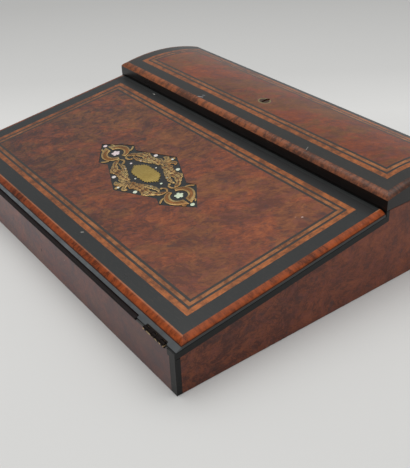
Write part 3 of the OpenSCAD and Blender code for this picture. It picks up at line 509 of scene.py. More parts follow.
def leather(name, colour, reach):
    """Thin smooth skiver with fine grain and slight wear, and two gilt lines with a blind-tooled roll inside
    its edge. Its front, where it folds down into the gap, is darkened as painted shade: browned leather below
    the crease, and black above it as the painted shadow under the lid's lip. reach = (half width, middle,
    half depth) of the leather along the slope."""
    f = Finish(name, Specular_IOR_Level=0.2)
    half, middle, deep = reach
    across, up, _ = f.axes(f.on_slope())
    inset = (half - abs(across)).least(deep - abs(up - middle))
    outer_line, roll_line, inner_line, bead_length = 7 * MM, 9.8 * MM, 12.5 * MM, 2.2 * MM
    grain = f.node("ShaderNodeTexVoronoi", {"feature": "DISTANCE_TO_EDGE"},
                   Vector=f.warped(f.place, 300.0, 1 * MM), Scale=1500.0).value(0)
    wear = f.noise(f.warped(f.place, 60.0, 10 * MM), 24.0, 6.0, 0.55)
    rubbed = f.patches(160.0, (0.52, 0.66), 4.0, 0.7, (0.4, 0.1, 0.2))
    darker = f.patches(60.0, (0.55, 0.75), 5.0, 0.65, (0.1, 0.8, 0.3))
    tint = f.mix(wear.ease(0.4, 0.8) * 0.55, colour, tuple(c * 1.5 + 0.006 for c in colour))
    tint = f.mix(darker * 0.5, tint, toned(colour, 0.55))
    gold = (inset.band(outer_line, 0.45 * MM) + inset.band(inner_line, 0.3 * MM)) * (1 - rubbed * 0.7)
    beads = abs(((across + up) * (math.pi / bead_length)).math("SINE")).ease(0.25, 0.75)
    roll = inset.band(roll_line, 1.6 * MM) * beads
    tint = f.mix(roll * 0.55, tint, toned(colour, 0.35))
    tint = f.mix(gold.clamped(), tint, GILT)
    # Painted shade on the fold down into the gap, with the painted shadow of the lid's lip above the crease
    fold = 1 - up.ease(1.5 * MM, 7 * MM)
    height = f.axes(f.place)[2]
    fold_shade = f.mix(1 - height.ease(32.7 * MM, 33.3 * MM), FOLD_SHADOW, FOLD_SHADED_BROWN)
    tint = f.mix(fold * 0.96, tint, fold_shade)
    f.set(Base_Color=tint, Roughness=0.48 + wear * 0.2 - gold * 0.15, Metallic=gold.clamped() * 0.6)
    f.bump(grain.ease(0.0, 0.25) * 0.6 - roll * 0.8 - gold * 0.8, 0.12 * MM, 0.6)
    return f.material


def clear_glass(name, tint):
    """Pressed glass with faint seeds."""
    f = Finish(name, Transmission_Weight=0.92, IOR=1.5, Base_Color=tint)
    f.set(Roughness=0.02 + f.noise(f.place, 500.0, 3.0) * 0.05)
    return f.material


def colour_setting(name, description, default):
    """A colour that a user can change."""
    return bpy.props.FloatVectorProperty(name=name, description=description, subtype="COLOR", default=default)


class BoxSettings(bpy.types.PropertyGroup):
    """Colours and sizes of the box's finishes."""

    burl_light: colour_setting("Burl, light", "Lightest tone of the burl", (0.265, 0.072, 0.020))
    burl_middle: colour_setting("Burl, middle", "Middle tone of the burl", (0.155, 0.037, 0.012))
    burl_dark: colour_setting("Burl, dark", "Darkest tone of the burl", (0.052, 0.017, 0.012))
    burl_olive: colour_setting("Burl, olive", "Brown areas between the red ones", (0.122, 0.048, 0.014))
    string_colour: colour_setting("Stringing", "Light strings", (0.235, 0.068, 0.014))
    bead_colour: colour_setting("Bead", "Rounded bead of the lids", (0.185, 0.037, 0.008))
    ebony: colour_setting("Ebonised wood", "Black-stained wood", (0.0115, 0.0130, 0.0130))
    ground: colour_setting("Ground wood", "Plain wood under the veneers", (0.130, 0.052, 0.026))
    brass: colour_setting("Brass", "Inlaid and turned brass", (0.46, 0.37, 0.16))
    copper: colour_setting("Copper", "Reddish inlay in the scrolls", (0.33, 0.15, 0.055))
    skiver: colour_setting("Leather", "Leather of the writing surface", (0.085, 0.016, 0.014))
    floor: colour_setting("Floor", "Plain floor", (0.68, 0.68, 0.67))
    light: bpy.props.FloatProperty(name="Light", description="Strength of the soft overhead light",
                                   default=14.0, min=0.0, unit="POWER")
    engraving: bpy.props.FloatProperty(name="Engraving", description="Width of an engraved line",
                                       default=0.00022, min=0.0001, max=0.0005, unit="LENGTH")


def added(name, data):
    """A new object in the scene."""
    thing = bpy.data.objects.new(name, data)
    bpy.context.scene.collection.objects.link(thing)
    return thing


def paint(material, *nodes):
    """Gives CAD nodes one material."""
    for name in nodes:
        slots = frame["nodes"][name].material_slots
        if slots:
            for slot in slots:
                slot.link = "OBJECT"
                slot.material = material
        else:
            frame["nodes"][name].data.materials.append(material)


def middle_of(node):
    """Middle and half size of a node in plan, as (x, y, half width, half depth)."""
    low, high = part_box(node)
    return ((low.x + high.x) / 2, (low.y + high.y) / 2, (high.x - low.x) / 2, (high.y - low.y) / 2)


# Edges that turn by more than this stay sharp
SHARP = math.radians(32)


def piece(name, bm, material, body, slot, *stands_for):
    """Makes a mesh object of a bmesh, lets it ride on a body, and hides the CAD nodes that it stands for."""
    bmesh.ops.recalc_face_normals(bm, faces=bm.faces)
    mesh = bpy.data.meshes.new(name)
    bm.to_mesh(mesh)
    bm.free()
    mesh.shade_smooth()
    mesh.set_sharp_from_angle(angle=SHARP)
    mesh.materials.append(material)
    thing = added(name, mesh)
    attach(thing, body)
    if stands_for:
        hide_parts(*stands_for)


def repeated(bm, places):
    """One bmesh with the shape set at every place."""
    mesh = bpy.data.meshes.new("repeated")
    bm.to_mesh(mesh)
    bm.free()
    group = bmesh.new()
    for place in places:
        first = len(group.verts)
        group.from_mesh(mesh)
        group.verts.ensure_lookup_table()
        bmesh.ops.transform(group, matrix=place, verts=group.verts[first:])
    bpy.data.meshes.remove(mesh)
    return group


# The view of the photograph: the lens and the long side in pixels, the camera's place in metres, its turns
FOCAL_PIXELS, LONG_SIDE_PIXELS = 762.67, 468
CAMERA_PLACE = Vector((0.4543, -0.3069, 0.3282))
YAW, PITCH, ROLL = 0.95566, 0.56857, -0.0406
SENSOR = 36.0

# The floor in metres: half its size, its painted light and shade by distance from the camera, and where its
# far colour sets in
FLOOR_HALF = 12.0
FLOOR_TONES = ((0.45, 0.93), (0.74, 0.98), (0.86, 0.82), (1.18, 0.66), (1.5, 0.62))
FAR_FROM, FAR_TO = 1.8, 5.5
FAR_FLOOR, FLOOR_MOTTLE = (0.78, 0.79, 0.8), (0.5, 0.5, 0.5)

# The lamp in metres, and the brightness of the room from below to straight above
LAMP_PLACE, LAMP_AIM, LAMP_SIZE = (-0.05, -0.05, 1.5), Vector((0.0, 0.0, 0.05)), (2.0, 1.8)
LAMP_COLOUR = (1.0, 0.99, 0.975)
ROOM = ((0.0, (0.48, 0.485, 0.49)), (0.55, (0.46, 0.47, 0.48)), (0.8, (0.72, 0.72, 0.72)),
        (1.0, (1.1, 1.09, 1.07)))


def floor_paper(colour):
    """Pale paper that is shaded with the distance from the camera, and even far from the box."""
    f = Finish("floor_paper", Roughness=0.9, Specular_IOR_Level=0.1)
    x, y, _ = f.axes(f.place)
    away = (x - CAMERA_PLACE.x) * -math.sin(YAW) + (y - CAMERA_PLACE.y) * math.cos(YAW)
    last = FLOOR_TONES[-1][0]
    # Painted light and shade by distance from the camera
    shade = f.ramp(away / last, *[(at / last, toned(colour, tone)) for at, tone in FLOOR_TONES])
    near = f.mix(f.noise(f.place, 9.0, 4.0) * 0.05, shade, FLOOR_MOTTLE)
    distance = (x ** 2 + y ** 2) ** 0.5
    f.set(Base_Color=f.mix(distance.ease(FAR_FROM, FAR_TO), near, FAR_FLOOR))
    return f.material


def lay_floor(colour):
    """Flat floor round the box."""
    bm = bmesh.new()
    bmesh.ops.create_grid(bm, x_segments=1, y_segments=1, size=FLOOR_HALF)
    mesh = bpy.data.meshes.new("floor")
    bm.to_mesh(mesh)
    bm.free()
    mesh.materials.append(floor_paper(colour))
    added("floor", mesh)


def light_room(strength):
    """Soft light from all round, and one wide lamp above the box."""
    world = bpy.data.worlds.new("soft_room")
    bpy.context.scene.world = world
    world.use_nodes = True
    room = NodeTree(world.node_tree)
    up = room.axes(room.node("ShaderNodeTexCoord").value("Generated"))[2]
    room.plug(world.node_tree.nodes["Background"].inputs["Color"], room.ramp(up, *ROOM))

    lamp = bpy.data.lights.new("overhead", "AREA")
    lamp.shape = "RECTANGLE"
    lamp.size, lamp.size_y = LAMP_SIZE
    lamp.energy = strength
    lamp.color = LAMP_COLOUR
    holder = added("overhead", lamp)
    holder.location = LAMP_PLACE
    holder.rotation_euler = (LAMP_AIM - holder.location).to_track_quat("-Z", "Y").to_euler()


def set_camera():
    """Camera at the photograph's view."""
    camera = bpy.data.cameras.new("camera")
    camera.sensor_width = SENSOR
    camera.lens = FOCAL_PIXELS / LONG_SIDE_PIXELS * SENSOR
    camera.clip_start = 10 * MM
    forward = Vector((-math.sin(YAW) * math.cos(PITCH), math.cos(YAW) * math.cos(PITCH), -math.sin(PITCH)))
    level = forward.cross(Vector((0, 0, 1))).normalized()
    upright = level.cross(forward)
    right = math.cos(ROLL) * level + math.sin(ROLL) * upright
    up = -math.sin(ROLL) * level + math.cos(ROLL) * upright
    turn = Matrix((right, up, -forward)).transposed().to_4x4()
    holder = added("camera", camera)
    holder.matrix_world = Matrix.Translation(CAMERA_PLACE) @ turn
    bpy.context.scene.camera = holder


class WRITINGBOX_OT_stage(bpy.types.Operator):
    """Adds the floor, the soft light and the camera"""

    bl_idname = "writingbox.stage"
    bl_label = "Stage"

    def execute(self, context):
        settings = context.scene.writing_box
        lay_floor(settings.floor)
        light_room(settings.light)
        set_camera()
        context.scene.view_settings.view_transform = "Standard"
        return {"FINISHED"}


# Tones of the burls, sweeps of painted light and shade along the slope, front and sides as (axis, start,
# end in mm, tone at start, tone at end), and the marks on the veneers as (start, end, width in mm, tint,
# strength)
CROWN_TONE, WALL_TONE = (1.12, 1.0, 0.85), (0.8, 0.95, 2.3)
SIDE_TONES = ((0.055, 0.014, 0.009), (0.135, 0.032, 0.013), (0.215, 0.056, 0.021), (0.12, 0.033, 0.014))
SLOPE_SHADE_SWEEPS = (("x", -150, 120, 0.84, 1.16), ("y", -105, -20, 0.87, 1.05))
FRONT_SHADE_SWEEP, SIDE_SHADE_SWEEP = ("x", -60, 170, 1.25, 0.7), ("y", -131, 20, 0.82, 1.2)
LINT = (((132.3, 1.6, 56.8), (132.6, 2.2, 56.9), 0.6, (0.6, 0.42, 0.36), 0.9),
        ((128.8, -1.4, 56.3), (129.2, -1.0, 56.4), 0.35, (0.5, 0.3, 0.25), 0.6))
FRONT_NICKS = (((-8.0, -131.0, 13.2), (-7.4, -131.0, 14.6), 1.0, (0.03, 0.02, 0.02), 0.7),
               ((32.0, -131.0, 26.0), (32.6, -131.0, 26.1), 0.5, (0.5, 0.45, 0.4), 0.8))
SLOPE_NICKS = (((28.0, -113.4, 40.2), (29.2, -112.2, 40.4), 0.5, (0.4, 0.38, 0.34), 0.9),
               ((-107.4, 38.4, 62.1), (-105.4, 38.8, 62.2), 0.5, (0.45, 0.43, 0.4), 0.9))
CROWN_SCUFFS = (((-51.5, 48.9, 74.2), (-47.0, 50.6, 74.5), 0.8, (0.26, 0.26, 0.27), 0.75),
                ((-49.5, 52.6, 74.9), (-47.6, 53.4, 75.0), 0.7, (0.2, 0.2, 0.21), 0.6),
                ((83.0, 52.3, 74.85), (84.8, 48.0, 74.0), 0.35, (0.3, 0.27, 0.24), 0.7))

# Heights above which the front veneer and the front panel are painted black, as painted shade in the gap
# under the slope lid
VENEER_RIM, PANEL_RIM = 31.9 * MM, 30.5 * MM


class WRITINGBOX_OT_veneers(bpy.types.Operator):
    """Gives the panels and walls their burl veneers"""

    bl_idname = "writingbox.veneers"
    bl_label = "Burl veneers"

    def execute(self, context):
        s = context.scene.writing_box
        tones = tuple(tuple(c) for c in (s.burl_dark, s.burl_middle, s.burl_light, s.burl_olive))
        crown, wall = [[toned(c, tone) for c in tones] for tone in (CROWN_TONE, WALL_TONE)]
        paint(burl("burl_slope", tones, marks=LINT, shade_sweeps=SLOPE_SHADE_SWEEPS, **LACQUER), "slope_burl_panel")
        paint(burl("burl_crown", crown, (0.4, 0.1, 0.0), 0.55, 0.9, spread=0.15, Specular_IOR_Level=0.32),
              "rear_burl_panel")
        paint(burl("burl_front", wall, (0.1, 0.5, 0.3), 0.5, 0.5, FRONT_NICKS, VENEER_RIM, (FRONT_SHADE_SWEEP,),
                   0.09), "front_veneer")
        paint(burl("burl_sides", SIDE_TONES, (0.7, 0.2, 0.5), 0.95, 0.4, shade_sweeps=(SIDE_SHADE_SWEEP,), spread=0.07,
                   Specular_IOR_Level=0.26), "left_veneer", "right_veneer")
        paint(burl("burl_back", tones, (0.2, 0.9, 0.1), **LACQUER), "back_veneer")
        return {"FINISHED"}


class WRITINGBOX_OT_bandings(bpy.types.Operator):
    """Gives the borders, strings, beads, edgings and corner strings their woods"""

    bl_idname = "writingbox.bandings"
    bl_label = "Borders, strings and beads"

    def execute(self, context):
        s = context.scene.writing_box
        self.ebonise(tuple(s.ebony))
        self.string(tuple(s.string_colour))
        self.bead(tuple(s.bead_colour))
        return {"FINISHED"}

    def ebonise(self, black):
        paint(ebonised("ebonised_corners", toned(black, 0.5), Specular_IOR_Level=0.19), "corner_strings",
              "side_edgings")
        paint(ebonised("ebonised", black, **LACQUER), "partition", "cartouche_ground")
        paint(ebonised("ebonised_lines", toned(black, (2.0, 1.5, 1.3)), **LACQUER),
              "slope_mid_line", "slope_inner_line", "rear_mid_line", "rear_inner_line")
        # The riser under the crown's nose: a darker copy of the black, as painted shade under the overhang
        paint(ebonised("ebonised_riser_shaded", (0.0060, 0.0040, 0.0034), Specular_IOR_Level=0.34), "rear_edging")
        paint(lip_with_painted_sheen("ebonised_lip", black), "slope_edging")
        paint(ebonised("ebonised_slope", black, (0.3, 0.2, 0.0), SLOPE_NICKS, 28 * MM, **LACQUER),
              "slope_border")
        paint(ebonised("ebonised_crown", toned(black, (1.35, 1.1, 0.95)), (0.6, 0.1, 0.0), CROWN_SCUFFS,
                       **LACQUER), "rear_border")

    def string(self, colour):
        """The inner strings are paler than the outer ones."""
        dark, pale = toned(colour, 0.5), toned(colour, (0.9, 1.12, 1.6))
        for node in ("slope_outer_string", "slope_inner_string", "rear_outer_string", "rear_inner_string"):
            own = pale if "inner" in node else colour
            paint(stringing(node + "_wood", own, dark, middle_of(node), **LACQUER), node)

    def bead(self, colour):
        paint(stringing("slope_bead_wood", colour, toned(colour, 0.4), middle_of("slope_bead"), True,
                        (4.8 * MM, 5.5 * MM), Specular_IOR_Level=0.14), "slope_bead")
        browner = toned(colour, (0.76, 1.15, 1.6))
        # The nose bead: its side strips darker as painted shade
        paint(stringing("rear_bead_wood", browner, toned(browner, 0.4), middle_of("rear_bead"), True,
                        sides=0.55, spread=0.05, ends=((1.4, 1.25, 1.0), (1.08, 1.05, 1.2)), **LACQUER),
              "rear_bead")


class WRITINGBOX_OT_ground_woods(bpy.types.Operator):
    """Gives the boards, flap, tray and dividers their plain wood"""

    bl_idname = "writingbox.ground_woods"
    bl_label = "Ground woods"

    def execute(self, context):
        wood = tuple(context.scene.writing_box.ground)
        dark = toned(wood, 0.53)
        paint(timber("mahogany_x", wood, dark, "X"), "bottom_board", "back_panel", "slope_board",
              "rear_lid_board")
        paint(timber("wall_with_gap_shade", wood, dark, "X", rim=PANEL_RIM), "front_panel")
        paint(timber("mahogany_y", wood, dark, "Y"), "left_side", "right_side", "flap_rests")
        paint(timber("polished_flap", wood, dark, "X", 0.3), "writing_flap")
        paint(timber("tray_wood", wood, dark, "X", 0.36, True), "pen_tray", "compartment_rail")
        paint(timber("divider_wood", wood, dark, "Y", 0.36, True), "cross_dividers")
        return {"FINISHED"}


# Outlines of the inlay, in mm from the middle of the cartouche. Lobed leaves have their width and lobes too
EYE_X, EYE_RADIUS = 45.2, 6.7
FRAME_SCROLL = (((15, 11.2), (23, 15.4), (32.4, 12.4), (34.2, 3.4)), 2.5, 3)
ACANTHUS = (((1.6, 13.4), (8, 17.6), (14, 12.4), (20.6, 16.4)), 3.3, 5)
ACANTHUS_END = (((18.2, 14.6), (21, 17.4), (24.6, 17.2), (27.6, 13.6)), 2.3, 3)
VINE = (((8, 11.2), (16, 11.4), (22, 4.6), (29.6, 7.4)), 1.9, 5)
CREST = (((0.6, 14.6), (1.4, 21), (5, 27), (8.6, 22.2)), 2.1, 2)
CREST_LOW = (((1.2, 15.2), (4.4, 19.2), (8.6, 20.4), (9.4, 17.2)), 1.5, 2)
TENDRIL = ((34.6, 3.8), (32.6, 1), (28.4, 0.8), (27.2, 3.8))
EYE_TIP = ((39, 9.6), (40, 12.6), (41.2, 14.4), (43.4, 15.8))
END_TIP = ((56, 5), (57.6, 6.2), (59.2, 5.4), (60.2, 3.8))
MEDALLION = ((18.2, 0), (15.4, 0.7), (16.6, 1.5), (14.0, 2.2), (15.2, 3.1), (12.6, 3.7), (13.8, 4.8),
             (11.5, 5.1), (12.2, 6.4), (10.0, 6.2), (9.8, 7.6), (8.0, 6.8), (6.9, 8.0), (5.3, 6.9),
             (3.8, 8.0), (2.2, 6.9), (0, 8.2))
FLOWERS = ((EYE_X, 0, 3.6), (-EYE_X, 0, 3.6))
QUARTER_DOTS = ((15.5, 20, 1.7), (18.4, 7.4, 0.6))
END_DOTS = ((62.3, 0, 1.7), (21.6, 0, 1.0), (0, 25.6, 1.1), (0, 9.8, 0.7))
QUARTERS = ((1, 1), (1, -1), (-1, 1), (-1, -1))


def curve_at(points, t):
    """Point on a curve of four control points, t = 0 at its start and 1 at its end."""
    a, b, c, d = (Vector(p) for p in points)
    u = 1 - t
    return u * u * u * a + 3 * u * u * t * b + 3 * u * t * t * c + t * t * t * d


def curve_side(points, t):
    """Direction to the left of the curve at t."""
    step = curve_at(points, min(t + 0.01, 1)) - curve_at(points, max(t - 0.01, 0))
    return Vector((-step.y, step.x)).normalized()


def leaf_half(width, lobes, u):
    """Half width of a leaf at u along it: pointed at both ends, and drawn in between its lobes."""
    full = 0.1 + width * math.sqrt(max(math.sin(math.pi * u), 0.0))
    return full * (0.6 + 0.46 * abs(math.sin(math.pi * lobes * u)) ** 0.7) if lobes else full


def leaf(points, width, lobes=0, trim=0.0, steps=40):
    """Outline of a leaf or scroll along a curve of four control points."""
    left, right = [], []
    for i in range(steps + 1):
        u = i / steps
        t = trim + (1 - 2 * trim) * u
        reach = leaf_half(width, lobes, u) * curve_side(points, t)
        left.append(curve_at(points, t) + reach)
        right.append(curve_at(points, t) - reach)
    return left + right[::-1]


def veins(points, width, lobes, line):
    """Engraved lines of a leaf: one along it, and one into each lobe."""
    lines = [leaf(points, line, trim=0.1, steps=16)]
    for lobe in range(lobes):
        for side in (-1, 1):
            low, high = (lobe + 0.12) / lobes, min((lobe + 0.62) / lobes, 0.94)
            start = curve_at(points, low)
            reach = side * leaf_half(width, lobes, high) * 0.78
            end = curve_at(points, high) + reach * curve_side(points, high)
            bow = (start + end) / 2 + side * 0.12 * width * curve_side(points, (low + high) / 2)
            lines.append(leaf((start, bow, bow, end), line * 0.8, steps=8))
    return lines


def round_point(x, y, radius, angle):
    return Vector((x + radius * math.cos(angle), y + radius * math.sin(angle)))


def crescent(inset=0.0, steps=40):
    """Outline of the scroll round one side of an eye: a round inner edge and a swelling outer one."""
    outer = ((59.8 - 3.2 * inset, 0.9 + 0.7 * inset), (53, 15.4 - 1.4 * inset), (38, 15.4 - 1.4 * inset),
             (35 + 1.3 * inset, 2.6 + 1.1 * inset))
    near, far = 168 - 5 * inset, 9 + 9 * inset
    arc = [round_point(EYE_X, 0, EYE_RADIUS + inset, math.radians(near + (far - near) * i / steps))
           for i in range(steps + 1)]
    return [curve_at(outer, i / steps) for i in range(steps + 1)] + arc


def disc(x, y, radius, steps=28):
    return [round_point(x, y, radius, 2 * math.pi * i / steps) for i in range(steps)]


def flower(x, y, radius, steps=80):
    """Outline of five round petals."""
    outline = []
    for i in range(steps):
        angle = 2 * math.pi * i / steps
        petal = 0.6 + 0.4 * abs(math.cos(2.5 * (angle - math.pi / 2))) ** 0.9
        outline.append(round_point(x, y, radius * petal, angle))
    return outline


def four(*outlines):
    """Outlines of one quarter, mirrored into the other three."""
    return [[Vector((p.x * sx, p.y * sy)) for p in outline] for outline in outlines for sx, sy in QUARTERS]


def four_quarters(quarter):
    """One closed outline from a quarter that runs from the X axis to the Y axis."""
    quarter = [Vector(p) for p in quarter]
    half = quarter + [Vector((-p.x, p.y)) for p in quarter[-2::-1]]
    return half + [Vector((p.x, -p.y)) for p in half[-2:0:-1]]


def flat_plate(outline, thickness, bevel):
    """Mesh of a flat plate about its middle height, filled as a curve. Its edges are bevelled inwards."""
    curve = bpy.data.curves.new("outline", "CURVE")
    curve.dimensions = "2D"
    curve.fill_mode = "BOTH"
    curve.extrude = thickness / 2 - bevel
    curve.bevel_depth = bevel
    curve.bevel_resolution = 1
    curve.offset = -bevel
    spline = curve.splines.new("POLY")
    spline.points.add(len(outline) - 1)
    for point, at in zip(spline.points, outline):
        point.co = (at.x, at.y, 0, 1)
    spline.use_cyclic_u = True
    holder = added("outline", curve)
    bpy.context.view_layer.update()
    mesh = bpy.data.meshes.new_from_object(holder.evaluated_get(bpy.context.evaluated_depsgraph_get()))
    bpy.data.objects.remove(holder)
    bpy.data.curves.remove(curve)
    return mesh


def inlay(layers):
    """Thin plates in the slope's top, in one bmesh, from layers of (outlines, low, high, bevel) in mm."""
    bm = bmesh.new()
    for outlines, low, high, bevel in layers:
        for outline in outlines:
            mesh = flat_plate(outline, high - low, bevel)
            first = len(bm.verts)
            bm.from_mesh(mesh)
            bpy.data.meshes.remove(mesh)
            bm.verts.ensure_lookup_table()
            bmesh.ops.translate(bm, vec=(0, 0, (low + high) / 2), verts=bm.verts[first:])
    bmesh.ops.remove_doubles(bm, verts=bm.verts, dist=0.002)
    bmesh.ops.transform(bm, matrix=CARTOUCHE_PLACE, verts=bm.verts)
    return bm


class WRITINGBOX_OT_cartouche(bpy.types.Operator):
    """Cuts the cartouche's brass scrolls, copper fillings, medallion and pearl flowers, and engraves them"""

    bl_idname = "writingbox.cartouche"
    bl_label = "Cartouche"

    def execute(self, context):
        s = context.scene.writing_box
        brass, copper = tuple(s.brass), tuple(s.copper)
        self.scrolls(brass, copper)
        self.fillings(copper)
        self.medallion(brass)
        self.engrave(s.engraving / MM / 2)
        self.pearls()
        return {"FINISHED"}

    def scrolls(self, brass, copper):
        tarnish = toned(copper, (0.95, 1.05, 1.1))
        sheet = metal("inlaid_brass", toned(brass, (1.05, 0.95, 0.95)), tarnish, 0.34)
        finials = [leaf(((0, y * 20), (-1.6, y * 24), (-0.4, y * 27), (0, y * 28.6)), 1.5, steps=20)
                   for y in (1, -1)]
        forms = (
            (four(crescent(), leaf(*FRAME_SCROLL, steps=60)), 0.02),
            (four(leaf(*VINE, steps=60), leaf(*CREST_LOW), leaf(TENDRIL, 0.75)), 0.03),
            (four(leaf(*ACANTHUS, steps=70), leaf(*ACANTHUS_END)), 0.045),
            (four(leaf(*CREST), leaf(EYE_TIP, 0.8), leaf(END_TIP, 0.6), disc(27.2, 3.8, 1.1)), 0.06),
            (finials, 0.07),
        )
        layers = [(outlines, -0.3, top, 0.03) for outlines, top in forms]
        piece("brass_scrolls", inlay(layers), sheet, "slope_lid", "brass", "cartouche_scrolls")

    def fillings(self, copper):
        fill = metal("copper_inlay", copper, toned(copper, 0.45), 0.4, 0.6)
        bars = [leaf([curve_at(points, t + i * step) for i in range(4)], width, steps=12)
                for (points, _, _), width in ((FRAME_SCROLL, 0.9), (ACANTHUS, 0.8), (ACANTHUS_END, 0.6))
                for t, step in ((0.1, 0.055), (0.36, 0.05), (0.6, 0.05), (0.8, 0.045))]
        layers = [(four(crescent(1.5)), -0.2, 0.04, 0.02), (four(*bars), -0.2, 0.065, 0.02)]
        piece("copper_fillings", inlay(layers), fill, "slope_lid", "copper", "cartouche_copper")

    def medallion(self, brass):
        plate = metal("medallion_brass", toned(brass, (0.84, 0.77, 0.56)), toned(brass, (0.62, 0.55, 0.38)),
                      0.4, 0.9, (1.0, 0.3, 1.0))
        layers = [([four_quarters(MEDALLION)], -0.3, 0.03, 0.04)]
        piece("medallion", inlay(layers), plate, "slope_lid", "brass", "cartouche_medallion")

    def engrave(self, line):
        """Fills the engraved lines with black wax. line is half the width of one, in mm."""
        wax = ebonised("engraving_wax", (0.012, 0.010, 0.008))
        cuts = ((ACANTHUS, 1.0), (ACANTHUS_END, 1.0), (FRAME_SCROLL, 0.9), (CREST, 1.0), (CREST_LOW, 1.0),
                (VINE, 0.9))
        layers = [(four(crescent(1.35)), -0.1, 0.03, 0.0)]
        layers += [(four(*veins(*form, line * fineness)), -0.1, 0.075, 0.0) for form, fineness in cuts]
        piece("engraved_lines", inlay(layers), wax, "slope_lid", "ebonised_wood")

    def pearls(self):
        shell = pearl("pearl", (0.62, 0.63, 0.54))
        dots = [disc(x * sx, y * sy, radius) for x, y, radius in QUARTER_DOTS for sx, sy in QUARTERS]
        dots += [disc(x * side, y * side, radius) for x, y, radius in END_DOTS for side in (1, -1)]
        layers = [([flower(*place) for place in FLOWERS] + dots, -0.3, 0.075, 0.06)]
        piece("pearl_flowers", inlay(layers), shell, "slope_lid", "pearl", "cartouche_pearl")


class WRITINGBOX_OT_escutcheon(bpy.types.Operator):
    """Sets the thin oval brass rim round the keyhole"""

    bl_idname = "writingbox.escutcheon"
    bl_label = "Escutcheon"

    def execute(self, context):
        brass = tuple(context.scene.writing_box.brass)
        middle_y, half_width, half_depth = 80.2 * MM, 5.6 * MM, 4.5 * MM
        inner_brown = (0.10, 0.055, 0.036)
        veneer_dark, veneer_light = (0.085, 0.024, 0.010), (0.17, 0.045, 0.017)
        f = Finish("escutcheon_brass")
        x, y, _ = f.axes(f.place)
        out = (x / half_width) ** 2 + ((y - middle_y) / half_depth) ** 2
        patches = f.noise(f.place, 500.0, 4.0, 0.65)
        rim = out.band(0.95, 0.3) * (0.35 + patches * 0.7)
        beyond = out.ease(1.0, 1.25)
        field = f.mix(beyond, inner_brown, f.ramp(patches, (0.35, veneer_dark), (0.62, veneer_light)))
        f.set(Base_Color=f.mix(rim.clamped(), field, toned(brass, (0.8, 0.84, 0.85))),
              Roughness=0.32 + patches * 0.14, Metallic=1 - beyond)
        f.bump(patches, 0.03 * MM, 0.3)
        paint(f.material, "keyhole_escutcheon")
        return {"FINISHED"}


# The hinges: their length, the width of their leaves, the spacing, margin and depth of their screws, the
# screws' sizes, and the turn of the back hinges' leaves towards the front
HINGE_LENGTH, CASE_LEAF, LID_LEAF = 22 * MM, 8.5 * MM, 15 * MM
SCREW_SPACING, SCREW_MARGIN, SCREW_SEAT = 7.4 * MM, 2.8 * MM, 0.2 * MM
SCREW_RADIUS, SCREW_SLOT = 1.6 * MM, 0.45 * MM
LONG_SCREW, SHORT_SCREW = 7 * MM, 2.8 * MM
TOWARDS_FRONT = Matrix.Rotation(math.pi, 4, "Z")


def screw(radius, length, slot):
    """Countersunk screw with a slotted head, its top at z = 0."""
    head_depth, slot_depth, shank_top = 1 * MM, 0.45 * MM, -0.9 * MM
    shank_length = length + shank_top
    bm = bmesh.new()
    head = bmesh.ops.create_cone(bm, cap_ends=True, segments=24, radius1=radius * 0.5, radius2=radius,
                                 depth=head_depth)
    bmesh.ops.translate(bm, vec=(0, 0, -head_depth / 2), verts=head["verts"])
    for side in (-1, 1):
        bmesh.ops.bisect_plane(bm, geom=bm.verts[:] + bm.edges[:] + bm.faces[:],
                               plane_co=(side * slot / 2, 0, 0), plane_no=(1, 0, 0))
    floor = [f for f in bm.faces if f.normal.z > 0.9 and abs(f.calc_center_median().x) < slot / 2]
    sunk = bmesh.ops.extrude_face_region(bm, geom=floor)["geom"]
    bmesh.ops.delete(bm, geom=floor, context="FACES_ONLY")
    sunk_verts = [v for v in sunk if isinstance(v, bmesh.types.BMVert)]
    bmesh.ops.translate(bm, vec=(0, 0, -slot_depth), verts=sunk_verts)
    shank = bmesh.ops.create_cone(bm, cap_ends=True, segments=16, radius1=radius * 0.15,
                                  radius2=radius * 0.48, depth=shank_length)
    bmesh.ops.translate(bm, vec=(0, 0, shank_top - shank_length / 2), verts=shank["verts"])
    return bm


def hinge_middle(joint, leaves):
    """Middle of the right one of two like hinges, on their axis."""
    axis = HINGE_PLACES[joint]
    return Vector((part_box(leaves)[1].x - HINGE_LENGTH / 2, axis.y, axis.z))


def screw_places(hinge, leaf_width, lean, facing_down=False):
    """Places of the three screws in a leaf of the left hinge and in the same leaf of the right one."""
    flip = Matrix.Rotation(math.pi, 4, "Y") if facing_down else Matrix.Identity(4)
    seat = SCREW_SEAT if facing_down else -SCREW_SEAT
    places = []
    for side in (-1, 1):
        axis = Matrix.Translation((hinge.x * side, hinge.y, hinge.z))
        for i in range(3):
            spin = Matrix.Rotation(0.5 + 1.1 * i + side, 4, "Z")
            at = Matrix.Translation(((i - 1) * SCREW_SPACING, leaf_width - SCREW_MARGIN, seat))
            places.append(axis @ lean @ at @ flip @ spin)
    return places


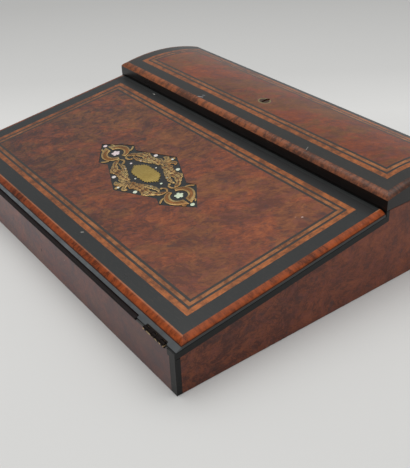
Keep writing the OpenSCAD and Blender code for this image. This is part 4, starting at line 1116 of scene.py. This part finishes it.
class WRITINGBOX_OT_hinges(bpy.types.Operator):
    """Ages the hinges, gives the front ones painted shade and a painted highlight line, and sets their
    slotted screws
    """

    bl_idname = "writingbox.hinges"
    bl_label = "Hinges and screws"

    def execute(self, context):
        brass = tuple(context.scene.writing_box.brass)
        paint(self.hinge_brass_with_shade(brass), "front_hinge_leaves", "front_hinge_pins", "slope_hinge_leaves")
        cleaner = metal("inner_brass", toned(brass, 1.05), toned(brass, 0.55), 0.34, 0.5)
        paint(cleaner, "back_hinge_leaves", "back_hinge_pins", "rear_hinge_leaves")
        heads = metal("screw_brass", toned(brass, 0.62), toned(brass, 0.3), 0.3, 0.6)
        front = hinge_middle("slope_lid_hinge", "front_hinge_leaves")
        rear = hinge_middle("rear_lid_hinge", "back_hinge_leaves")
        case = screw_places(front, CASE_LEAF, TILT) + screw_places(rear, CASE_LEAF, TOWARDS_FRONT)
        slope = screw_places(front, LID_LEAF, TILT, facing_down=True)
        crown = screw_places(rear, LID_LEAF, TOWARDS_FRONT, facing_down=True)
        for name, length, places, body, node in (
                ("case_screws", LONG_SCREW, case, "carcase", "carcase_screws"),
                ("slope_screws", SHORT_SCREW, slope, "slope_lid", "slope_lid_screws"),
                ("crown_screws", LONG_SCREW, crown, "rear_lid", "rear_lid_screws")):
            piece(name, repeated(screw(SCREW_RADIUS, length, SCREW_SLOT), places), heads, body, "brass", node)
        return {"FINISHED"}

    def hinge_brass_with_shade(self, brass):
        """Black outside, as dark patina and painted shade, but for a broken painted highlight line along the
        barrels, and rubbed clean inside the box.
        """
        highlight_height, highlight_half, inside_from, inside_to = 33.3 * MM, 0.65 * MM, -128.6 * MM, -127.8 * MM
        # Dark patina with painted shade outside, and brass inside and on the painted highlight line
        grime, worn_gold = (0.009, 0.006, 0.005), (0.62, 0.44, 0.26)
        f = Finish("hinge_brass_shaded_and_highlit", Metallic=0.9)
        _, y, z = f.axes(f.place)
        patches = f.noise(f.place, 420.0, 4.0, 0.65)
        # Painted highlight: a broken gold line along the barrels
        line = z.band(highlight_height, highlight_half) * f.patches(260.0, (0.4, 0.5), 3.0, 0.6)
        inside = y.ease(inside_from, inside_to)
        shown = (line * (1 - inside) + inside).clamped()
        old = f.ramp(patches, (0.3, toned(brass, 0.8)), (0.6, worn_gold))
        f.set(Base_Color=f.mix(shown, grime, old), Roughness=0.4 + patches * 0.16)
        f.bump(patches, 0.05 * MM, 0.3)
        return f.material


class WRITINGBOX_OT_lock(bpy.types.Operator):
    """Finishes the lock case, its bolt and the strike plate, with rivets and screws"""

    bl_idname = "writingbox.lock"
    bl_label = "Lock"

    def execute(self, context):
        brass = tuple(context.scene.writing_box.brass)
        case = metal("lock_brass", toned(brass, 1.05), toned(brass, 0.6), 0.32, 0.5)
        paint(case, "lock_case", "strike_plate")
        paint(metal("filed_steel", (0.42, 0.41, 0.39), (0.2, 0.17, 0.14), 0.35), "lock_bolt")
        self.rivets(case)
        self.strike_screws(case)
        return {"FINISHED"}

    def rivets(self, brass):
        radius, flatness, from_middle, margin = 1.3 * MM, 0.4, 17 * MM, 5 * MM
        rivet = bmesh.new()
        bmesh.ops.create_uvsphere(rivet, u_segments=16, v_segments=8, radius=radius)
        bmesh.ops.scale(rivet, vec=(1, 1, flatness), verts=rivet.verts)
        low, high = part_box("lock_case")
        places = [Matrix.Translation((side * from_middle, y, low.z)) for side in (-1, 1)
                  for y in (low.y + margin, high.y - margin)]
        piece("lock_rivets", repeated(rivet, places), brass, "rear_lid", "brass")

    def strike_screws(self, brass):
        radius, length, slot, from_middle = 1.4 * MM, 4 * MM, 0.4 * MM, 11.5 * MM
        low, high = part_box("strike_plate")
        facing_back = Matrix.Rotation(-math.pi / 2, 4, "X")
        places = [Matrix.Translation((side * from_middle, high.y, (low.z + high.z) / 2)) @ facing_back
                  @ Matrix.Rotation(0.6 * side, 4, "Z") for side in (-1, 1)]
        piece("strike_screws", repeated(screw(radius, length, slot), places), brass, "carcase", "brass")


# The leathers along the slope: half their width, where each starts and where both end
LEATHER_HALF, LEATHER_END = 128 * MM, 162.4 * MM
LEATHER_STARTS = {"flap_leather": -0.6 * MM, "lid_leather": 2.4 * MM}


class WRITINGBOX_OT_leathers(bpy.types.Operator):
    """Lays the tooled leather on the flap and in the lid"""

    bl_idname = "writingbox.leathers"
    bl_label = "Leathers"

    def execute(self, context):
        skiver = tuple(context.scene.writing_box.skiver)
        for node, start in LEATHER_STARTS.items():
            reach = (LEATHER_HALF, (start + LEATHER_END) / 2, (LEATHER_END - start) / 2)
            paint(leather(node + "_skiver", skiver, reach), node)
        return {"FINISHED"}


# An inkwell cap in mm: half its section, its pin from the middle of its foot, and the barrel round the pin
CAP_SECTION = ((0, 1), (9, 1), (9, 0), (12.2, 0), (12.5, 0.25), (12.5, 1.7), (12.25, 1.95), (11.3, 2.0),
               (11.1, 1.8), (10.7, 1.8), (10.5, 2.1), (9.9, 2.55), (8, 3.15), (6, 3.55), (4.3, 3.75),
               (4.1, 3.6), (3.7, 3.6), (3.5, 3.85), (2.4, 4.25), (1.2, 4.45), (0, 4.5))
CAP_PIN = Vector((0, 14.1, -0.15))
BARREL_RADIUS, BARREL_LENGTH = 1.4, 3.85
ALONG_X = Matrix.Rotation(math.pi / 2, 4, "Y")


def cap_block(bm, middle, size):
    """Adds a block to a cap, in mm."""
    place = Matrix.Translation(Vector(middle) * MM) @ Matrix.Diagonal((*(Vector(size) * MM), 1))
    return bmesh.ops.create_cube(bm, size=1.0, matrix=place)


def turned_cap(foot):
    """Turned cap with the barrel and lug of its hinge at the back, and a rounded tab to lift it by."""
    bm = bmesh.new()
    verts = [bm.verts.new((r * MM, 0, z * MM)) for r, z in CAP_SECTION]
    edges = [bm.edges.new(pair) for pair in zip(verts, verts[1:])]
    bmesh.ops.spin(bm, geom=verts + edges, cent=(0, 0, 0), axis=(0, 0, 1), angle=2 * math.pi, steps=64,
                   use_merge=True)
    bmesh.ops.remove_doubles(bm, verts=bm.verts, dist=1e-6)
    radius = BARREL_RADIUS * MM
    bmesh.ops.create_cone(bm, cap_ends=True, segments=24, radius1=radius, radius2=radius,
                          depth=BARREL_LENGTH * MM, matrix=Matrix.Translation(CAP_PIN * MM) @ ALONG_X)
    cap_block(bm, (0, 12.5, 0.62), (BARREL_LENGTH, 3.0, 1.24))
    tab = cap_block(bm, (0, -12.7, 1.0), (4, 2, 2))
    rounded = list({e for v in tab["verts"] for e in v.link_edges})
    bmesh.ops.bevel(bm, geom=rounded, affect="EDGES", offset=0.4 * MM, segments=2, profile=0.5, material=-1)
    bmesh.ops.translate(bm, vec=foot, verts=bm.verts)
    return bm


class WRITINGBOX_OT_inkwells(bpy.types.Operator):
    """Turns the brass caps, and finishes the glasses and collars"""

    bl_idname = "writingbox.inkwells"
    bl_label = "Inkwells"

    def execute(self, context):
        brass = tuple(context.scene.writing_box.brass)
        turned = metal("turned_brass", brass, (0.24, 0.15, 0.05), 0.26, 0.5, (0.3, 0.3, 1.0))
        paint(turned, "inkwell_collars", "inkwell_pins")
        paint(clear_glass("ink_glass", (0.9, 0.96, 0.95)), "inkwell_bottles")
        for side in ("left", "right"):
            cap = "inkwell_cap_" + side
            foot = HINGE_PLACES[cap + "_hinge"] - CAP_PIN * MM
            piece("turned_cap_" + side, turned_cap(foot), turned, cap, "brass", cap)
        return {"FINISHED"}


class WRITINGBOX_PT_panel(bpy.types.Panel):
    """Lists the steps that dress the writing box"""

    bl_label = "Writing Box"
    bl_idname = "WRITINGBOX_PT_panel"
    bl_space_type = "VIEW_3D"
    bl_region_type = "UI"
    bl_category = "Writing Box"

    def draw(self, context):
        for name in BoxSettings.__annotations__:
            self.layout.prop(context.scene.writing_box, name)
        for step in STEPS:
            self.layout.operator(step.bl_idname)


STEPS = (WRITINGBOX_OT_stage, WRITINGBOX_OT_veneers, WRITINGBOX_OT_bandings, WRITINGBOX_OT_ground_woods,
         WRITINGBOX_OT_cartouche, WRITINGBOX_OT_escutcheon, WRITINGBOX_OT_hinges, WRITINGBOX_OT_lock,
         WRITINGBOX_OT_leathers, WRITINGBOX_OT_inkwells)
CLASSES = (BoxSettings, *STEPS, WRITINGBOX_PT_panel)


def register():
    for cls in CLASSES:
        bpy.utils.register_class(cls)
    bpy.types.Scene.writing_box = bpy.props.PointerProperty(type=BoxSettings)


def unregister():
    del bpy.types.Scene.writing_box
    for cls in reversed(CLASSES):
        bpy.utils.unregister_class(cls)


def main():
    register()
    box = bpy.ops.writingbox
    for make in (box.stage, box.veneers, box.bandings, box.ground_woods, box.cartouche, box.escutcheon,
                 box.hinges, box.lock, box.leathers, box.inkwells):
        make()


if __name__ == "__main__":
    main()
